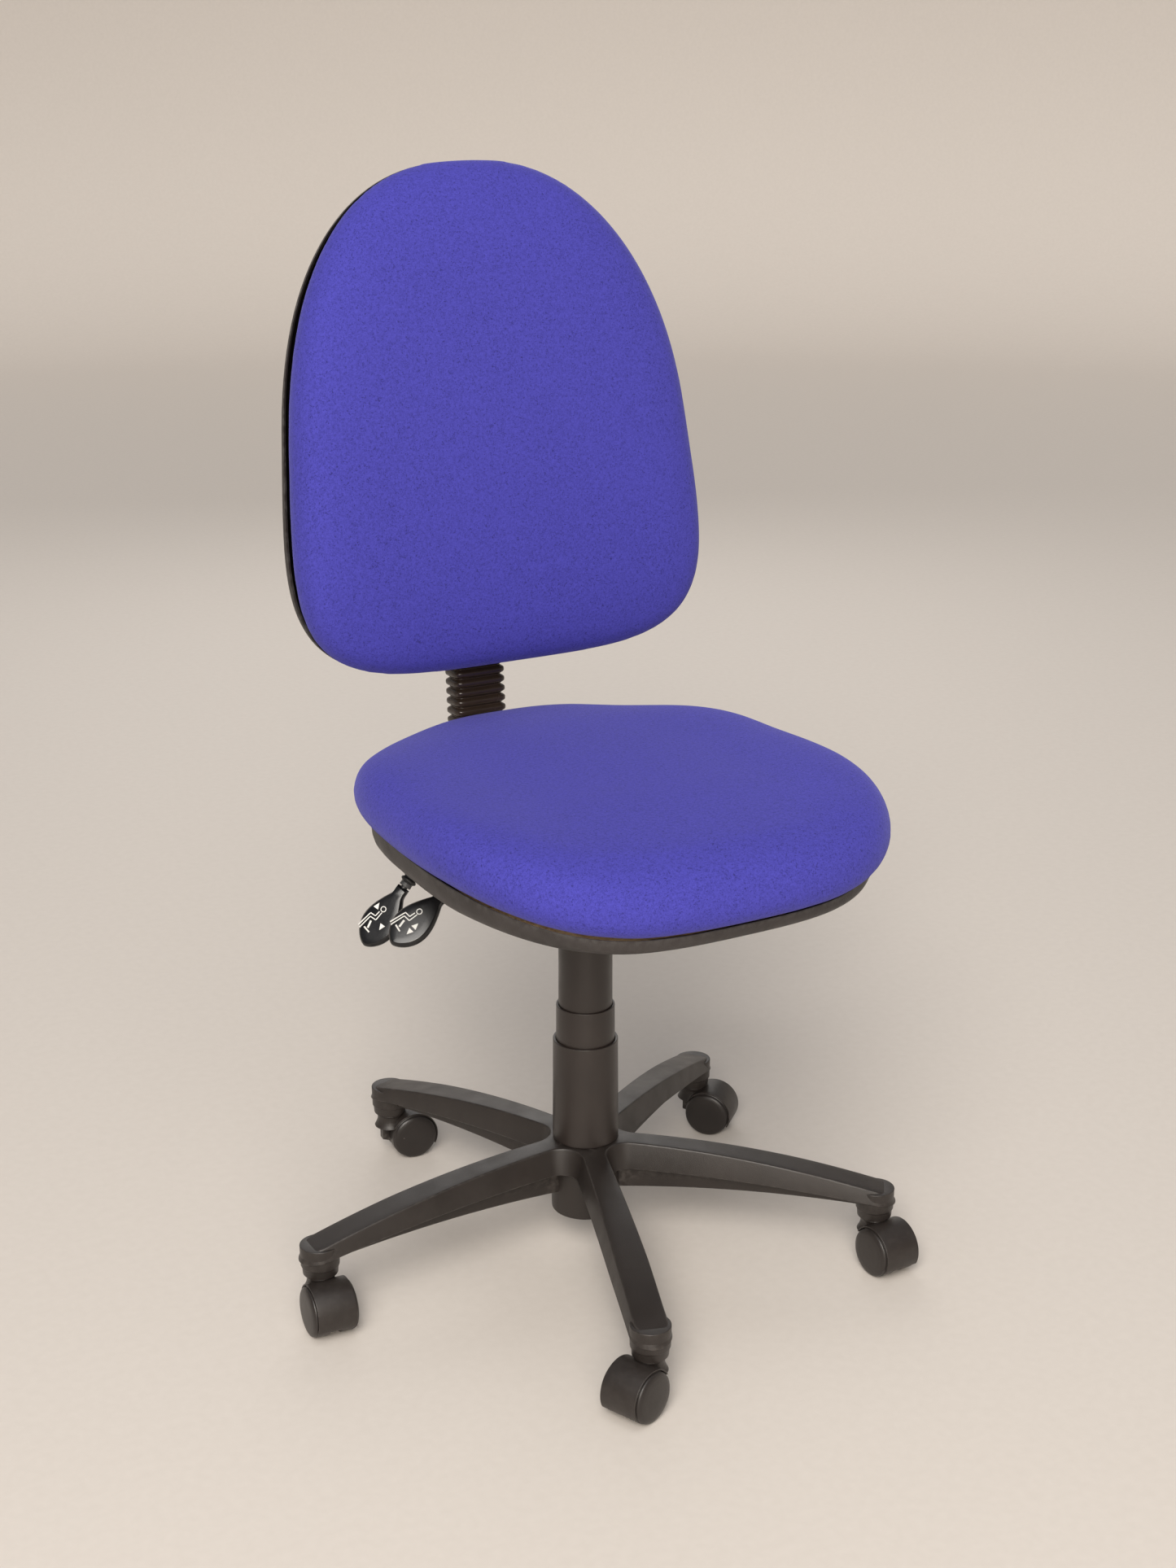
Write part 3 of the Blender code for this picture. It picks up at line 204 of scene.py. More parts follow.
class Surface:
    """A Principled material whose nodes are added one call at a time."""

    def __init__(self, name, roughness, metallic=0.0, **constants):
        self.material = bpy.data.materials.new(name)
        self.material.use_nodes = True
        self.tree = self.material.node_tree
        self.shader = self.tree.nodes["Principled BSDF"]
        self.shader.inputs["Roughness"].default_value = roughness
        self.shader.inputs["Metallic"].default_value = metallic
        for socket, value in constants.items():
            self.shader.inputs[socket.replace("_", " ")].default_value = value
        self.coordinates = self.tree.nodes.new("ShaderNodeTexCoord").outputs["Object"]

    def stretched(self, factors):
        mapping = self.tree.nodes.new("ShaderNodeMapping")
        mapping.inputs["Scale"].default_value = factors
        self.tree.links.new(self.coordinates, mapping.inputs["Vector"])
        return mapping.outputs["Vector"]

    def noise(self, scale, detail=2.0, factors=None):
        node = self.tree.nodes.new("ShaderNodeTexNoise")
        node.inputs["Scale"].default_value = scale
        node.inputs["Detail"].default_value = detail
        place = self.stretched(factors) if factors else self.coordinates
        self.tree.links.new(place, node.inputs["Vector"])
        return node.outputs["Fac"]

    def edges(self):
        node = self.tree.nodes.new("ShaderNodeNewGeometry")
        return node.outputs["Pointiness"]

    def range(self, value, low, high, out_low=0.0, out_high=1.0):
        node = self.tree.nodes.new("ShaderNodeMapRange")
        self.tree.links.new(value, node.inputs["Value"])
        limits = {"From Min": low, "From Max": high, "To Min": out_low, "To Max": out_high}
        for socket, number in limits.items():
            node.inputs[socket].default_value = number
        return node.outputs["Result"]

    def math(self, operation, first, second):
        node = self.tree.nodes.new("ShaderNodeMath")
        node.operation = operation
        for socket, value in zip(node.inputs, (first, second)):
            self.tree.links.new(value, socket)
        return node.outputs["Value"]

    def mix(self, factor, first, second):
        """Colour between the first and the second, each a colour or a socket."""
        node = self.tree.nodes.new("ShaderNodeMix")
        node.data_type = "RGBA"
        self.tree.links.new(factor, node.inputs["Factor"])
        for socket, value in ((node.inputs[6], first), (node.inputs[7], second)):
            if isinstance(value, tuple):
                socket.default_value = (*value, 1.0)
            else:
                self.tree.links.new(value, socket)
        return node.outputs[2]

    def colour(self, socket):
        self.tree.links.new(socket, self.shader.inputs["Base Color"])

    def roughness(self, socket):
        self.tree.links.new(socket, self.shader.inputs["Roughness"])

    def bump(self, *layers):
        """Layers of (height, distance), each laid on the one before."""
        normal = None
        for height, distance in layers:
            node = self.tree.nodes.new("ShaderNodeBump")
            node.inputs["Strength"].default_value = 1.0
            node.inputs["Distance"].default_value = distance
            self.tree.links.new(height, node.inputs["Height"])
            if normal:
                self.tree.links.new(normal, node.inputs["Normal"])
            normal = node.outputs["Normal"]
        self.tree.links.new(normal, self.shader.inputs["Normal"])


def scaled(colour, factor):
    return tuple(channel * factor for channel in colour)


def moulded_plastic(name, colour, roughness, grain, grain_depth, worn, scuffs=0.0):
    """Moulded plastic: fine grain, slightly uneven colour, paler worn edges and a few scuffs."""
    surface = Surface(name, roughness, Specular_IOR_Level=0.5)
    cloudy = surface.range(surface.noise(14.0, 4.0), 0.35, 0.65)
    shade = surface.mix(cloudy, scaled(colour, 0.86), scaled(colour, 1.14))
    edge = surface.range(surface.edges(), 0.515, 0.58, 0.0, 0.55)
    broken = surface.range(surface.noise(160.0, 5.0), 0.42, 0.62)
    shade = surface.mix(surface.math("MULTIPLY", edge, broken), shade, worn)
    if scuffs:
        marks = surface.noise(95.0, 3.0, (1.0, 0.45, 1.6))
        spots = surface.range(marks, 0.80 - scuffs, 0.84 - scuffs, 0.0, 0.75)
        shade = surface.mix(spots, shade, (0.42, 0.40, 0.38))
    surface.colour(shade)
    surface.roughness(surface.range(surface.noise(38.0, 5.0), 0.30, 0.70, roughness - 0.05, roughness + 0.08))
    surface.bump((surface.noise(grain, 3.0), grain_depth), (surface.noise(60.0, 2.0), grain_depth * 0.6))
    return surface.material


def wool_fabric():
    """Felted wool cloth: short fibres lying every way, dark flecks and a soft sheen."""
    blue = (0.054, 0.050, 0.330)
    surface = Surface("wool_cloth", 0.93, Sheen_Weight=0.24, Sheen_Roughness=0.45, Specular_IOR_Level=0.15)
    surface.shader.inputs["Sheen Tint"].default_value = (0.42, 0.42, 1.0, 1.0)
    lengthways = surface.noise(1150.0, 3.0, (0.35, 1.0, 1.0))
    crossways = surface.noise(1200.0, 3.0, (1.0, 0.35, 0.8))
    upright = surface.noise(1100.0, 3.0, (1.0, 1.0, 0.35))
    fibres = surface.math("MAXIMUM", surface.math("MAXIMUM", lengthways, crossways), upright)
    shade = surface.mix(surface.range(fibres, 0.48, 0.72), scaled(blue, 0.70), scaled(blue, 1.24))
    flecks = surface.range(surface.noise(640.0, 2.0), 0.57, 0.68, 0.0, 0.75)
    shade = surface.mix(flecks, shade, scaled(blue, 0.26))
    pile = surface.range(surface.noise(340.0, 3.0), 0.36, 0.64, 0.0, 0.5)
    shade = surface.mix(pile, shade, scaled(blue, 1.30))
    blotches = surface.range(surface.noise(9.0, 3.0), 0.30, 0.70, 0.0, 0.08)
    surface.colour(surface.mix(blotches, shade, scaled(blue, 1.45)))
    surface.bump((fibres, 0.0005), (surface.noise(260.0, 3.0), 0.0003))
    return surface.material


def metal(name, colour, roughness, metallic, grain, depth, factors=None, stain=None):
    """Metal or paint on metal, with drawn lines or orange peel and faint staining."""
    surface = Surface(name, roughness, metallic)
    cloudy = surface.range(surface.noise(22.0, 5.0), 0.35, 0.68)
    shade = surface.mix(cloudy, scaled(colour, 0.82), colour)
    edge = surface.range(surface.edges(), 0.52, 0.60, 0.0, 0.6)
    shade = surface.mix(edge, shade, stain or scaled(colour, 1.3))
    surface.colour(shade)
    smears = surface.noise(50.0, 5.0, factors)
    surface.roughness(surface.range(smears, 0.3, 0.7, roughness - 0.07, roughness + 0.10))
    surface.bump((surface.noise(grain, 3.0, factors), depth))
    return surface.material


def plywood():
    """Beech plywood: long grain on the faces, darker pores."""
    surface = Surface("plywood_board", 0.62)
    grain = surface.noise(34.0, 5.0, (0.4, 6.0, 9.0))
    shade = surface.mix(surface.range(grain, 0.32, 0.68), (0.36, 0.225, 0.115), (0.62, 0.44, 0.26))
    pores = surface.range(surface.noise(240.0, 3.0, (0.12, 1.0, 1.0)), 0.60, 0.68, 0.0, 0.6)
    surface.colour(surface.mix(pores, shade, (0.20, 0.12, 0.06)))
    surface.bump((grain, 0.0004))
    return surface.material


def plain_floor():
    surface = Surface("floor", 0.85)
    speckle = surface.range(surface.noise(90.0, 4.0), 0.3, 0.7)
    surface.colour(surface.mix(speckle, (0.66, 0.61, 0.56), (0.68, 0.63, 0.58)))
    return surface.material


NYLON = (0.0215, 0.0170, 0.0148)
MATERIALS = {
    "nylon": moulded_plastic("satin_nylon", NYLON, 0.40, 1500.0, 0.00016, (0.105, 0.092, 0.084)),
    "wheel_nylon": moulded_plastic("wheel_nylon", (0.0200, 0.0162, 0.0146), 0.36, 1300.0, 0.00012,
                                   (0.085, 0.076, 0.072), 0.045),
    "cover_plastic": moulded_plastic("cover_plastic", (0.0240, 0.0182, 0.0158), 0.36, 1900.0, 0.00012,
                                     (0.080, 0.070, 0.064)),
    "shell_plastic": moulded_plastic("grained_shell", (0.0290, 0.0240, 0.0228), 0.50, 900.0, 0.00030,
                                     (0.090, 0.085, 0.082)),
    "lever_plastic": moulded_plastic("gloss_lever", (0.004, 0.004, 0.005), 0.20, 2200.0, 0.00003,
                                     (0.016, 0.016, 0.018)),
    "boot_rubber": moulded_plastic("boot_rubber", (0.010, 0.010, 0.011), 0.48, 1400.0, 0.00012,
                                   (0.030, 0.030, 0.030)),
    # Bellows: the dark vinyl's colour is lifted lighter and browner than its own, as painted highlight for
    # the shine along the ridges.
    "bellows_plastic": moulded_plastic("bellows_vinyl", (0.040, 0.027, 0.020), 0.20, 1200.0, 0.00006,
                                       (0.040, 0.034, 0.030)),
    "wool_fabric": wool_fabric(),
    "bright_steel": metal("bright_steel", (0.56, 0.56, 0.57), 0.27, 1.0, 900.0, 0.00003, (1.0, 1.0, 14.0)),
    "black_steel": metal("black_painted_steel", (0.018, 0.018, 0.019), 0.42, 0.0, 520.0, 0.00012,
                         stain=(0.06, 0.055, 0.05)),
    "plywood": plywood(),
    "bush_plastic": moulded_plastic("acetal_bush", (0.66, 0.65, 0.60), 0.45, 800.0, 0.00010,
                                    (0.80, 0.79, 0.75)),
}
PRINT = moulded_plastic("white_print", (0.74, 0.74, 0.72), 0.50, 900.0, 0.00004, (0.55, 0.55, 0.53))
SLEEVE = moulded_plastic("grey_sleeve", (0.060, 0.060, 0.064), 0.42, 1500.0, 0.00010, (0.10, 0.10, 0.10))


# ---------------------------------------------------------------- shape helpers

def finished(builder):
    """A mesh from a bmesh, with outward faces, shaded smooth by angle."""
    bmesh.ops.recalc_face_normals(builder, faces=builder.faces)
    mesh = bpy.data.meshes.new("shape")
    builder.to_mesh(mesh)
    builder.free()
    mesh.shade_smooth()
    mesh.set_sharp_from_angle(angle=SMOOTH_ANGLE)
    return mesh


def bridged(builder, rings):
    """Rows of vertices for rings of equal count, with the walls between them."""
    rows = [[builder.verts.new(point) for point in row] for row in rings]
    count = len(rows[0])
    for lower, upper in zip(rows, rows[1:]):
        for k in range(count):
            n = (k + 1) % count
            builder.faces.new((lower[k], lower[n], upper[n], upper[k]))
    return rows


def capped(builder, row):
    """Close a ring with a fan of triangles round its middle."""
    middle = builder.verts.new(sum((v.co for v in row), Vector()) / len(row))
    for k, vertex in enumerate(row):
        builder.faces.new((vertex, row[(k + 1) % len(row)], middle))


def loft(rings, looped=False):
    builder = bmesh.new()
    if looped:
        rings = [*rings, rings[0]]
    rows = bridged(builder, rings)
    if looped:
        bmesh.ops.remove_doubles(builder, verts=builder.verts, dist=1e-7)
    else:
        capped(builder, rows[0])
        capped(builder, rows[-1])
    return finished(builder)


def eased(rings, steps=4):
    """More rings on a smooth curve through the given ones."""
    rows = np.array([rings[0], *rings, rings[-1]], dtype=float)
    smooth = []
    for k in range(1, len(rows) - 2):
        before, start, end, after = rows[k - 1:k + 3]
        for share in np.arange(steps) / steps:
            line = 2.0 * start + (end - before) * share
            bend = (2.0 * before - 5.0 * start + 4.0 * end - after) * share ** 2
            twist = (3.0 * start - before - 3.0 * end + after) * share ** 3
            smooth.append((line + bend + twist) / 2.0)
    return [*smooth, rows[-1]]


def rounded(points, radius, steps=4, closed=False):
    """The (a, b) polyline with each inner corner made an arc of about that radius."""
    result = [] if closed else [points[0]]
    count = len(points)
    for k in range(count) if closed else range(1, count - 1):
        before, corner, after = (Vector(points[(k + shift) % count]) for shift in (-1, 0, 1))
        back, ahead = before - corner, after - corner
        reach = min(radius, 0.45 * back.length, 0.45 * ahead.length)
        start, end = corner + back.normalized() * reach, corner + ahead.normalized() * reach
        for step in range(steps + 1):
            t = step / steps
            spot = start * (1 - t) ** 2 + corner * (2 * t * (1 - t)) + end * t ** 2
            result.append((spot.x, spot.y))
    return result if closed else [*result, points[-1]]


def turned(profile, steps=ROUND_STEPS):
    """Turn (radius, height) points about Z; a profile that leaves the axis is closed into a ring."""
    builder = bmesh.new()
    points = [builder.verts.new((radius, 0.0, height)) for radius, height in profile]
    edges = [builder.edges.new(pair) for pair in zip(points, points[1:])]
    if profile[0][0] > 0:
        edges.append(builder.edges.new((points[-1], points[0])))
    bmesh.ops.spin(builder, geom=points + edges, axis=(0, 0, 1), cent=(0, 0, 0), angle=math.tau,
                   steps=steps, use_merge=True)
    bmesh.ops.remove_doubles(builder, verts=builder.verts, dist=1e-6)
    return finished(builder)


def moved(mesh, matrix):
    copy = mesh.copy()
    copy.transform(matrix)
    return copy


def joined(*meshes):
    builder = bmesh.new()
    for mesh in meshes:
        builder.from_mesh(mesh)
    return finished(builder)


def scratch(mesh):
    """An object that only lives while a shape is being worked out."""
    item = bpy.data.objects.new("scratch", mesh)
    bpy.context.scene.collection.objects.link(item)
    return item


def settled(item):
    """The item's mesh with its modifiers applied; the item is removed."""
    bpy.context.view_layer.update()
    graph = bpy.context.evaluated_depsgraph_get()
    mesh = bpy.data.meshes.new_from_object(item.evaluated_get(graph))
    bpy.data.objects.remove(item, do_unlink=True)
    mesh.materials.clear()
    mesh.shade_smooth()
    mesh.set_sharp_from_angle(angle=SMOOTH_ANGLE)
    return mesh


def cut(base, *cutters):
    item = scratch(base)
    tools = [scratch(mesh) for mesh in cutters]
    for tool in tools:
        step = item.modifiers.new("Boolean", "BOOLEAN")
        step.operation = "DIFFERENCE"
        step.solver = "EXACT"
        step.object = tool
    mesh = settled(item)
    for tool in tools:
        bpy.data.objects.remove(tool, do_unlink=True)
    return mesh


def block(size, centre):
    builder = bmesh.new()
    bmesh.ops.create_cube(builder, size=1.0)
    bmesh.ops.scale(builder, vec=size, verts=builder.verts)
    bmesh.ops.translate(builder, vec=centre, verts=builder.verts)
    return finished(builder)


def skin(rings, thickness):
    """An open lofted tray, closed on its last ring and thickened inwards."""
    builder = bmesh.new()
    capped(builder, bridged(builder, rings)[-1])
    item = scratch(finished(builder))
    wall = item.modifiers.new("Solidify", "SOLIDIFY")
    wall.thickness = thickness
    wall.offset = -1.0
    return settled(item)


def piece(name, mesh, body, slot, replaces=(), matrix=CHAIR, material=None):
    """Show a mesh as a named piece that rides on a body."""
    mesh.transform(matrix)
    mesh.materials.append(material or MATERIALS[slot])
    item = bpy.data.objects.new(name, mesh)
    bpy.context.scene.collection.objects.link(item)
    if body:
        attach(item, body)
    if replaces:
        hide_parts(*replaces)
    return item


def signed_power(value, power):
    return math.copysign(abs(value) ** (2.0 / power), value)


def ramp(value, start, end):
    return max(0.0, (value - start) / (end - start))


def egg(half, ahead, behind, ahead_power, behind_power, taper, inset=0.0):
    """Points of a rounded outline: across first, then along, positive ahead."""
    outline = []
    for k in range(OUTLINE_COUNT):
        angle = math.tau * (k + 0.5) / OUTLINE_COUNT
        forward = math.cos(angle) > 0
        reach, power = (ahead, ahead_power) if forward else (behind, behind_power)
        along = reach * signed_power(math.cos(angle), power)
        across = half * signed_power(math.sin(angle), power) * (1.0 + taper * along / TAPER_REACH)
        outline.append(Vector((across, along)))
    inward = []
    for k in range(OUTLINE_COUNT):
        chord = outline[(k + 1) % OUTLINE_COUNT] - outline[k - 1]
        inward.append(Vector((chord.y, -chord.x)).normalized())
    return [point + normal * inset for point, normal in zip(outline, inward)]


# ---------------------------------------------------------------- base

def half_arm(hub_half, tip_half, tip_reach):
    """Plan of half an arm on +Y, from the corner between two arms out to the tip."""
    radius = CORNER[1] - hub_half
    points = []
    for k in range(CORNER_STEPS + 1):
        turn = CORNER_FROM + CORNER_SWEEP * k / CORNER_STEPS
        points.append((CORNER[0] + radius * math.cos(turn), CORNER[1] + radius * math.sin(turn)))
    for k in range(1, SIDE_STEPS + 1):
        x = CORNER[0] + (STEM_CIRCLE - CORNER[0]) * k / SIDE_STEPS
        points.append((x, hub_half + (tip_half - hub_half) * min(1.0, ramp(x, *ARM_TAPER))))
    for k in range(1, TIP_STEPS + 1):
        turn = math.pi / 2 * k / TIP_STEPS
        points.append((STEM_CIRCLE + tip_reach * math.sin(turn), tip_half * math.cos(turn)))
    return points


def half_spine():
    """Inner ends of the half arm's points: round the bore, then along the arm's middle line."""
    points = []
    for k in range(CORNER_STEPS + 1):
        turn = math.pi / ARM_COUNT * (1 - k / CORNER_STEPS)
        points.append((BORE * math.cos(turn), BORE * math.sin(turn)))
    for k in range(1, SIDE_STEPS + 1):
        points.append((BORE + (STEM_CIRCLE - BORE) * k / SIDE_STEPS, 0.0))
    return points + [(STEM_CIRCLE, 0.0)] * TIP_STEPS


def round_star(half, height):
    """The half arm's plan mirrored and repeated round the hub, at heights that follow the radius."""
    sector = [(x, -y) for x, y in half] + list(reversed(half[1:-1]))
    ring = []
    for arm in range(ARM_COUNT):
        turn = FIRST_ARM + math.tau * arm / ARM_COUNT
        for x, y in sector:
            spot = (x * math.cos(turn) - y * math.sin(turn), x * math.sin(turn) + y * math.cos(turn))
            ring.append((*spot, height(math.hypot(x, y))))
    return ring


def arm_top(radius):
    return HUB_TOP - ARM_TOP_FALL * radius ** 2


def arm_edge(radius):
    return ARM_EDGE_HEIGHT - ARM_EDGE_FALL * radius ** 2


def inset(plan, amount):
    return tuple(value - amount for value in plan)


def between(first, second, share):
    return [(a[0] + (b[0] - a[0]) * share, a[1] + (b[1] - a[1]) * share) for a, b in zip(first, second)]


def star_shell():
    """The five hollow arms as one skin: top, rounded crest, leaning sides, rim, inner sides and roof."""
    spine = half_spine()
    crest = half_arm(*inset(CREST, 0.0016))
    roof = half_arm(*inset(CREST, ARM_WALL))
    levels = [
        (spine, arm_top, 0.0),
        (between(spine, crest, 0.55), arm_top, 0.0),
        (crest, arm_top, 0.0),
        (half_arm(*inset(CREST, 0.0008)), arm_top, -0.00015),
        (half_arm(*inset(CREST, 0.0002)), arm_top, -0.0007),
        (half_arm(*inset(CREST, -0.0002)), arm_top, -0.0018),
        (half_arm(*inset(EDGE, 0.0003)), arm_edge, 0.0012),
        (half_arm(*inset(EDGE, 0.0002)), arm_edge, 0.0004),
        (half_arm(*inset(EDGE, 0.0006)), arm_edge, -0.0001),
        (half_arm(*inset(EDGE, ARM_WALL - 0.0004)), arm_edge, -0.0001),
        (half_arm(*inset(EDGE, ARM_WALL)), arm_edge, 0.0005),
        (roof, arm_top, -ARM_ROOF),
        (between(spine, roof, 0.5), arm_top, -ARM_ROOF),
        (spine, arm_top, -ARM_ROOF),
    ]
    builder = bmesh.new()
    rings = [round_star(plan, lambda r, h=height, d=drop: h(r) + d) for plan, height, drop in levels]
    rows = bridged(builder, rings)
    top, bottom = rows[0], rows[-1]
    sector = len(top) // ARM_COUNT
    for k in range(len(top)):
        if k % sector < CORNER_STEPS or k % sector >= sector - CORNER_STEPS:
            n = (k + 1) % len(top)
            builder.faces.new((top[k], top[n], bottom[n], bottom[k]))
    bmesh.ops.remove_doubles(builder, verts=builder.verts, dist=1e-6)
    bmesh.ops.dissolve_degenerate(builder, edges=builder.edges, dist=1e-7)
    return finished(builder)


def arm_rib():
    """The stiffening rib under an arm, along +X, with a rounded lower edge."""
    rings = []
    for k in range(RIB_STEPS + 1):
        x = RIB_FROM + (STEM_CIRCLE - RIB_SHORT - RIB_FROM) * k / RIB_STEPS
        top = arm_top(x) - ARM_ROOF + 0.0002
        low = 0.075 - 0.35 * (x - 0.125) ** 2
        half = [(0.0060, top), (0.0059, low + 0.0110), (0.0057, low + 0.0050), (0.0056, low + 0.0030),
                (0.0055, low + 0.0016), (0.0050, low + 0.0005), (0.0040, low)]
        rings.append([(x, y, z) for y, z in half] + [(x, -y, z) for y, z in reversed(half)])
    return loft(rings)


def stem_boss():
    """The boss that takes a caster's stem, with a rounded foot."""
    profile = [(0.0060, 0.0535), (0.0174, 0.0535), (0.0181, 0.0622), (0.0192, 0.0628), (0.0197, 0.0850),
               (0.0060, 0.0850)]
    return turned(rounded(profile, 0.0010, closed=True), 48)


def arm_turn(index):
    return Matrix.Rotation(FIRST_ARM + math.tau * index / ARM_COUNT, 4, "Z")


def star_base():
    profile = [(BORE, 0.1226), (0.0340, 0.1226), (0.0362, 0.1000), (0.0352, HUB_BOTTOM), (BORE, HUB_BOTTOM)]
    hub = turned(rounded(profile, 0.0014, closed=True))
    boss = moved(stem_boss(), Matrix.Translation((STEM_CIRCLE, 0, 0)))
    rib = arm_rib()
    parts = [star_shell(), hub]
    for k in range(ARM_COUNT):
        parts += [moved(rib, arm_turn(k)), moved(boss, arm_turn(k))]
    piece("five_star_base", joined(*parts), "base", "nylon", ["star_base"])


def cover(name, node, body, outer, low, top, lip, foot):
    """A telescopic column cover with a rounded rim, an inward lip and a slightly wider foot."""
    inner = outer - 0.0014
    outline = [(lip, top), (outer, top), (foot, low + 0.0030), (foot, low), (inner, low),
               (inner, top - 0.0022), (lip, top - 0.0018)]
    piece(name, turned(rounded(outline, 0.0009, closed=True)), body, "cover_plastic", [node])


def column_covers():
    cover("cover_lower", "lower_column_cover", "base", 0.0333, 0.1283, 0.2385, 0.0303, 0.0339)
    cover("cover_middle", "middle_column_cover", "middle_cover", 0.0298, 0.1800, 0.2765, 0.0277, 0.0306)
    cover("cover_upper", "upper_column_cover", "lift", 0.0272, 0.2300, 0.3985, 0.0146, 0.0276)


# ---------------------------------------------------------------- casters

def sideways(mesh):
    """Turn a shape made about Z so that it lies about the wheels' axle."""
    return moved(mesh, Matrix.Translation((TRAIL, 0, WHEEL_RADIUS)) @ Matrix.Rotation(math.pi / 2, 4, "X"))


def hood_mesh():
    """Hood over the wheels, concave neck and the plate between the wheels."""
    outline = rounded([(HOOD_INNER, -HOOD_HALF), (HOOD_OUTER, -HOOD_HALF), (HOOD_OUTER, HOOD_HALF),
                       (HOOD_INNER, HOOD_HALF)], 0.0014, closed=True)
    middle = (HOOD_INNER + HOOD_OUTER) / 2
    ends = ((0.0, 0.25), (0.35, 0.75), (1.0, 1.0))
    sweep = HOOD_TO - HOOD_FROM - 2 * HOOD_LIP
    rings = [(HOOD_FROM + HOOD_LIP * share, squeeze) for share, squeeze in ends]
    rings += [(HOOD_FROM + HOOD_LIP + sweep * k / HOOD_STEPS, 1.0) for k in range(1, HOOD_STEPS)]
    rings += [(HOOD_TO - HOOD_LIP * share, squeeze) for share, squeeze in reversed(ends)]
    arch = []
    for turn, squeeze in rings:
        spots = [(middle + (r - middle) * squeeze, h) for r, h in outline]
        arch.append([(r * math.cos(turn), r * math.sin(turn), -h) for r, h in spots])
    neck_profile = [(0.0058, 0.0527), (0.0150, 0.0527), (0.0152, 0.0512), (0.0140, 0.0503), (0.0137, 0.0475),
                    (0.0142, 0.0440), (0.0155, 0.0405), (0.0175, 0.0370), (0.0058, 0.0370)]
    neck = turned(rounded(neck_profile, 0.0007, 3, closed=True), 64)
    wide = HOOD_INNER + 0.0002
    room = turned([(0, 0.03), (wide, 0.03), (wide, WEB_HALF), (0, WEB_HALF)])
    rooms = [sideways(room), sideways(moved(room, Matrix.Rotation(math.pi, 4, "X")))]
    plate = []
    for k in range(25):
        turn = HOOD_FROM + 0.05 + (HOOD_TO - HOOD_FROM - 0.10) * k / 24
        plate.append(((HOOD_INNER + 0.0007) * math.cos(turn), (HOOD_INNER + 0.0007) * math.sin(turn)))
    plate += [(-0.0330, 0.0160), (-0.0330, -0.0040)]
    for k in range(17):
        turn = math.radians(205.0 + 125.0 * k / 16)
        plate.append((0.0215 * math.cos(turn), 0.0215 * math.sin(turn)))
    web = loft([[(x, y, z) for x, y in plate] for z in (-WEB_HALF, WEB_HALF)])
    return joined(sideways(loft(arch)), cut(neck, *rooms), sideways(web))


def wheel_mesh():
    """One wheel about Z, outer face up: shallow dome, rim groove, tread and a hollow back."""
    outer, inner = WHEEL_OUTER, WHEEL_INNER
    profile = [
        (0, outer + 0.0012), (0.0080, outer + 0.0011), (0.0160, outer + 0.0007), (0.0205, outer + 0.0001),
        (0.0232, outer - 0.0009), (0.0246, outer - 0.0022), (0.0249, outer - 0.0034),
        (0.0243, outer - 0.0038), (0.0243, outer - 0.0044), (0.0255, outer - 0.0050),
        (0.0255, inner + 0.0010), (0.0245, inner), (0.0215, inner), (0.0205, inner + 0.0060),
        (0.0085, inner + 0.0060), (0.0075, inner), (0.0033, inner), (0.0033, 0.0166), (0, 0.0166),
    ]
    return turned(rounded(profile, 0.0009, 3), 72)


def casters():
    hood = hood_mesh()
    wheel = wheel_mesh()
    for index, (side, heading) in enumerate(CASTERS.items()):
        arm = FIRST_ARM + math.tau * index / ARM_COUNT
        spot = Matrix.Translation((STEM_CIRCLE * math.cos(arm), STEM_CIRCLE * math.sin(arm), 0))
        place = CHAIR @ spot @ Matrix.Rotation(math.radians(heading) - math.pi / 2, 4, "Z")
        piece("caster_body_" + side, hood.copy(), "caster_" + side, "nylon", ["caster_hood_" + side], place)
        axle = place @ Matrix.Translation((TRAIL, 0, WHEEL_RADIUS))
        for hand, turn in (("left", -math.pi / 2), ("right", math.pi / 2)):
            body = f"wheel_{hand}_{side}"
            matrix = axle @ Matrix.Rotation(turn, 4, "X")
            piece(f"wheel_disc_{hand}_{side}", wheel.copy(), body, "wheel_nylon", [body], matrix)


# ---------------------------------------------------------------- cushions and shells

def seat_height(across, ahead):
    """Height of the line round the seat's widest part: raised sides and rear, dropped front."""
    side = SIDE_RISE * ramp(abs(across), SIDE_FROM, SEAT_EGG[0]) ** 2
    front = FRONT_DROP * ramp(ahead, FRONT_FROM, SEAT_EGG[1]) ** 2
    rear = REAR_RISE * ramp(-ahead, REAR_FROM, SEAT_EGG[2]) ** 2
    return SEAT_LINE + side - front + rear


def seat_ring(amount, height, scale=1.0):
    outline = [p * scale for p in egg(*SEAT_EGG, amount)]
    return [(p.x, -p.y, seat_height(p.x, p.y) + height) for p in outline]


def back_plane(up):
    """Rearward place of the back's leaning middle plane at a height."""
    return BACK_MID_Y + up * BACK_SLOPE


def back_ring(amount, depth, crown, scale=1.0):
    """A ring of the back cushion; the depth runs rearwards from its leaning middle plane."""
    outline = [p * scale for p in egg(*BACK_EGG, amount)]
    bow = crown * BACK_CROWN
    return [(p.x, back_plane(p.y) + bow * (p.y / CROWN_REACH) ** 2 + depth, p.y) for p in outline]


def upholstered(name, mesh, node, body, held, matrix=CHAIR):
    """Stuff a closed shape: remesh it, swell it as cloth under pressure and smooth it."""
    item = scratch(mesh)
    remesh = item.modifiers.new("Remesh", "REMESH")
    remesh.mode = "VOXEL"
    remesh.voxel_size = VOXEL
    mesh = settled(item)
    mesh = swollen(mesh, held)
    item = piece(name, mesh, body, "wool_fabric", [node], matrix)
    soften = item.modifiers.new("Smooth", "SMOOTH")
    soften.iterations = SOFTEN_ROUNDS
    finer = item.modifiers.new("Subdivision", "SUBSURF")
    finer.levels = 1
    finer.render_levels = 1


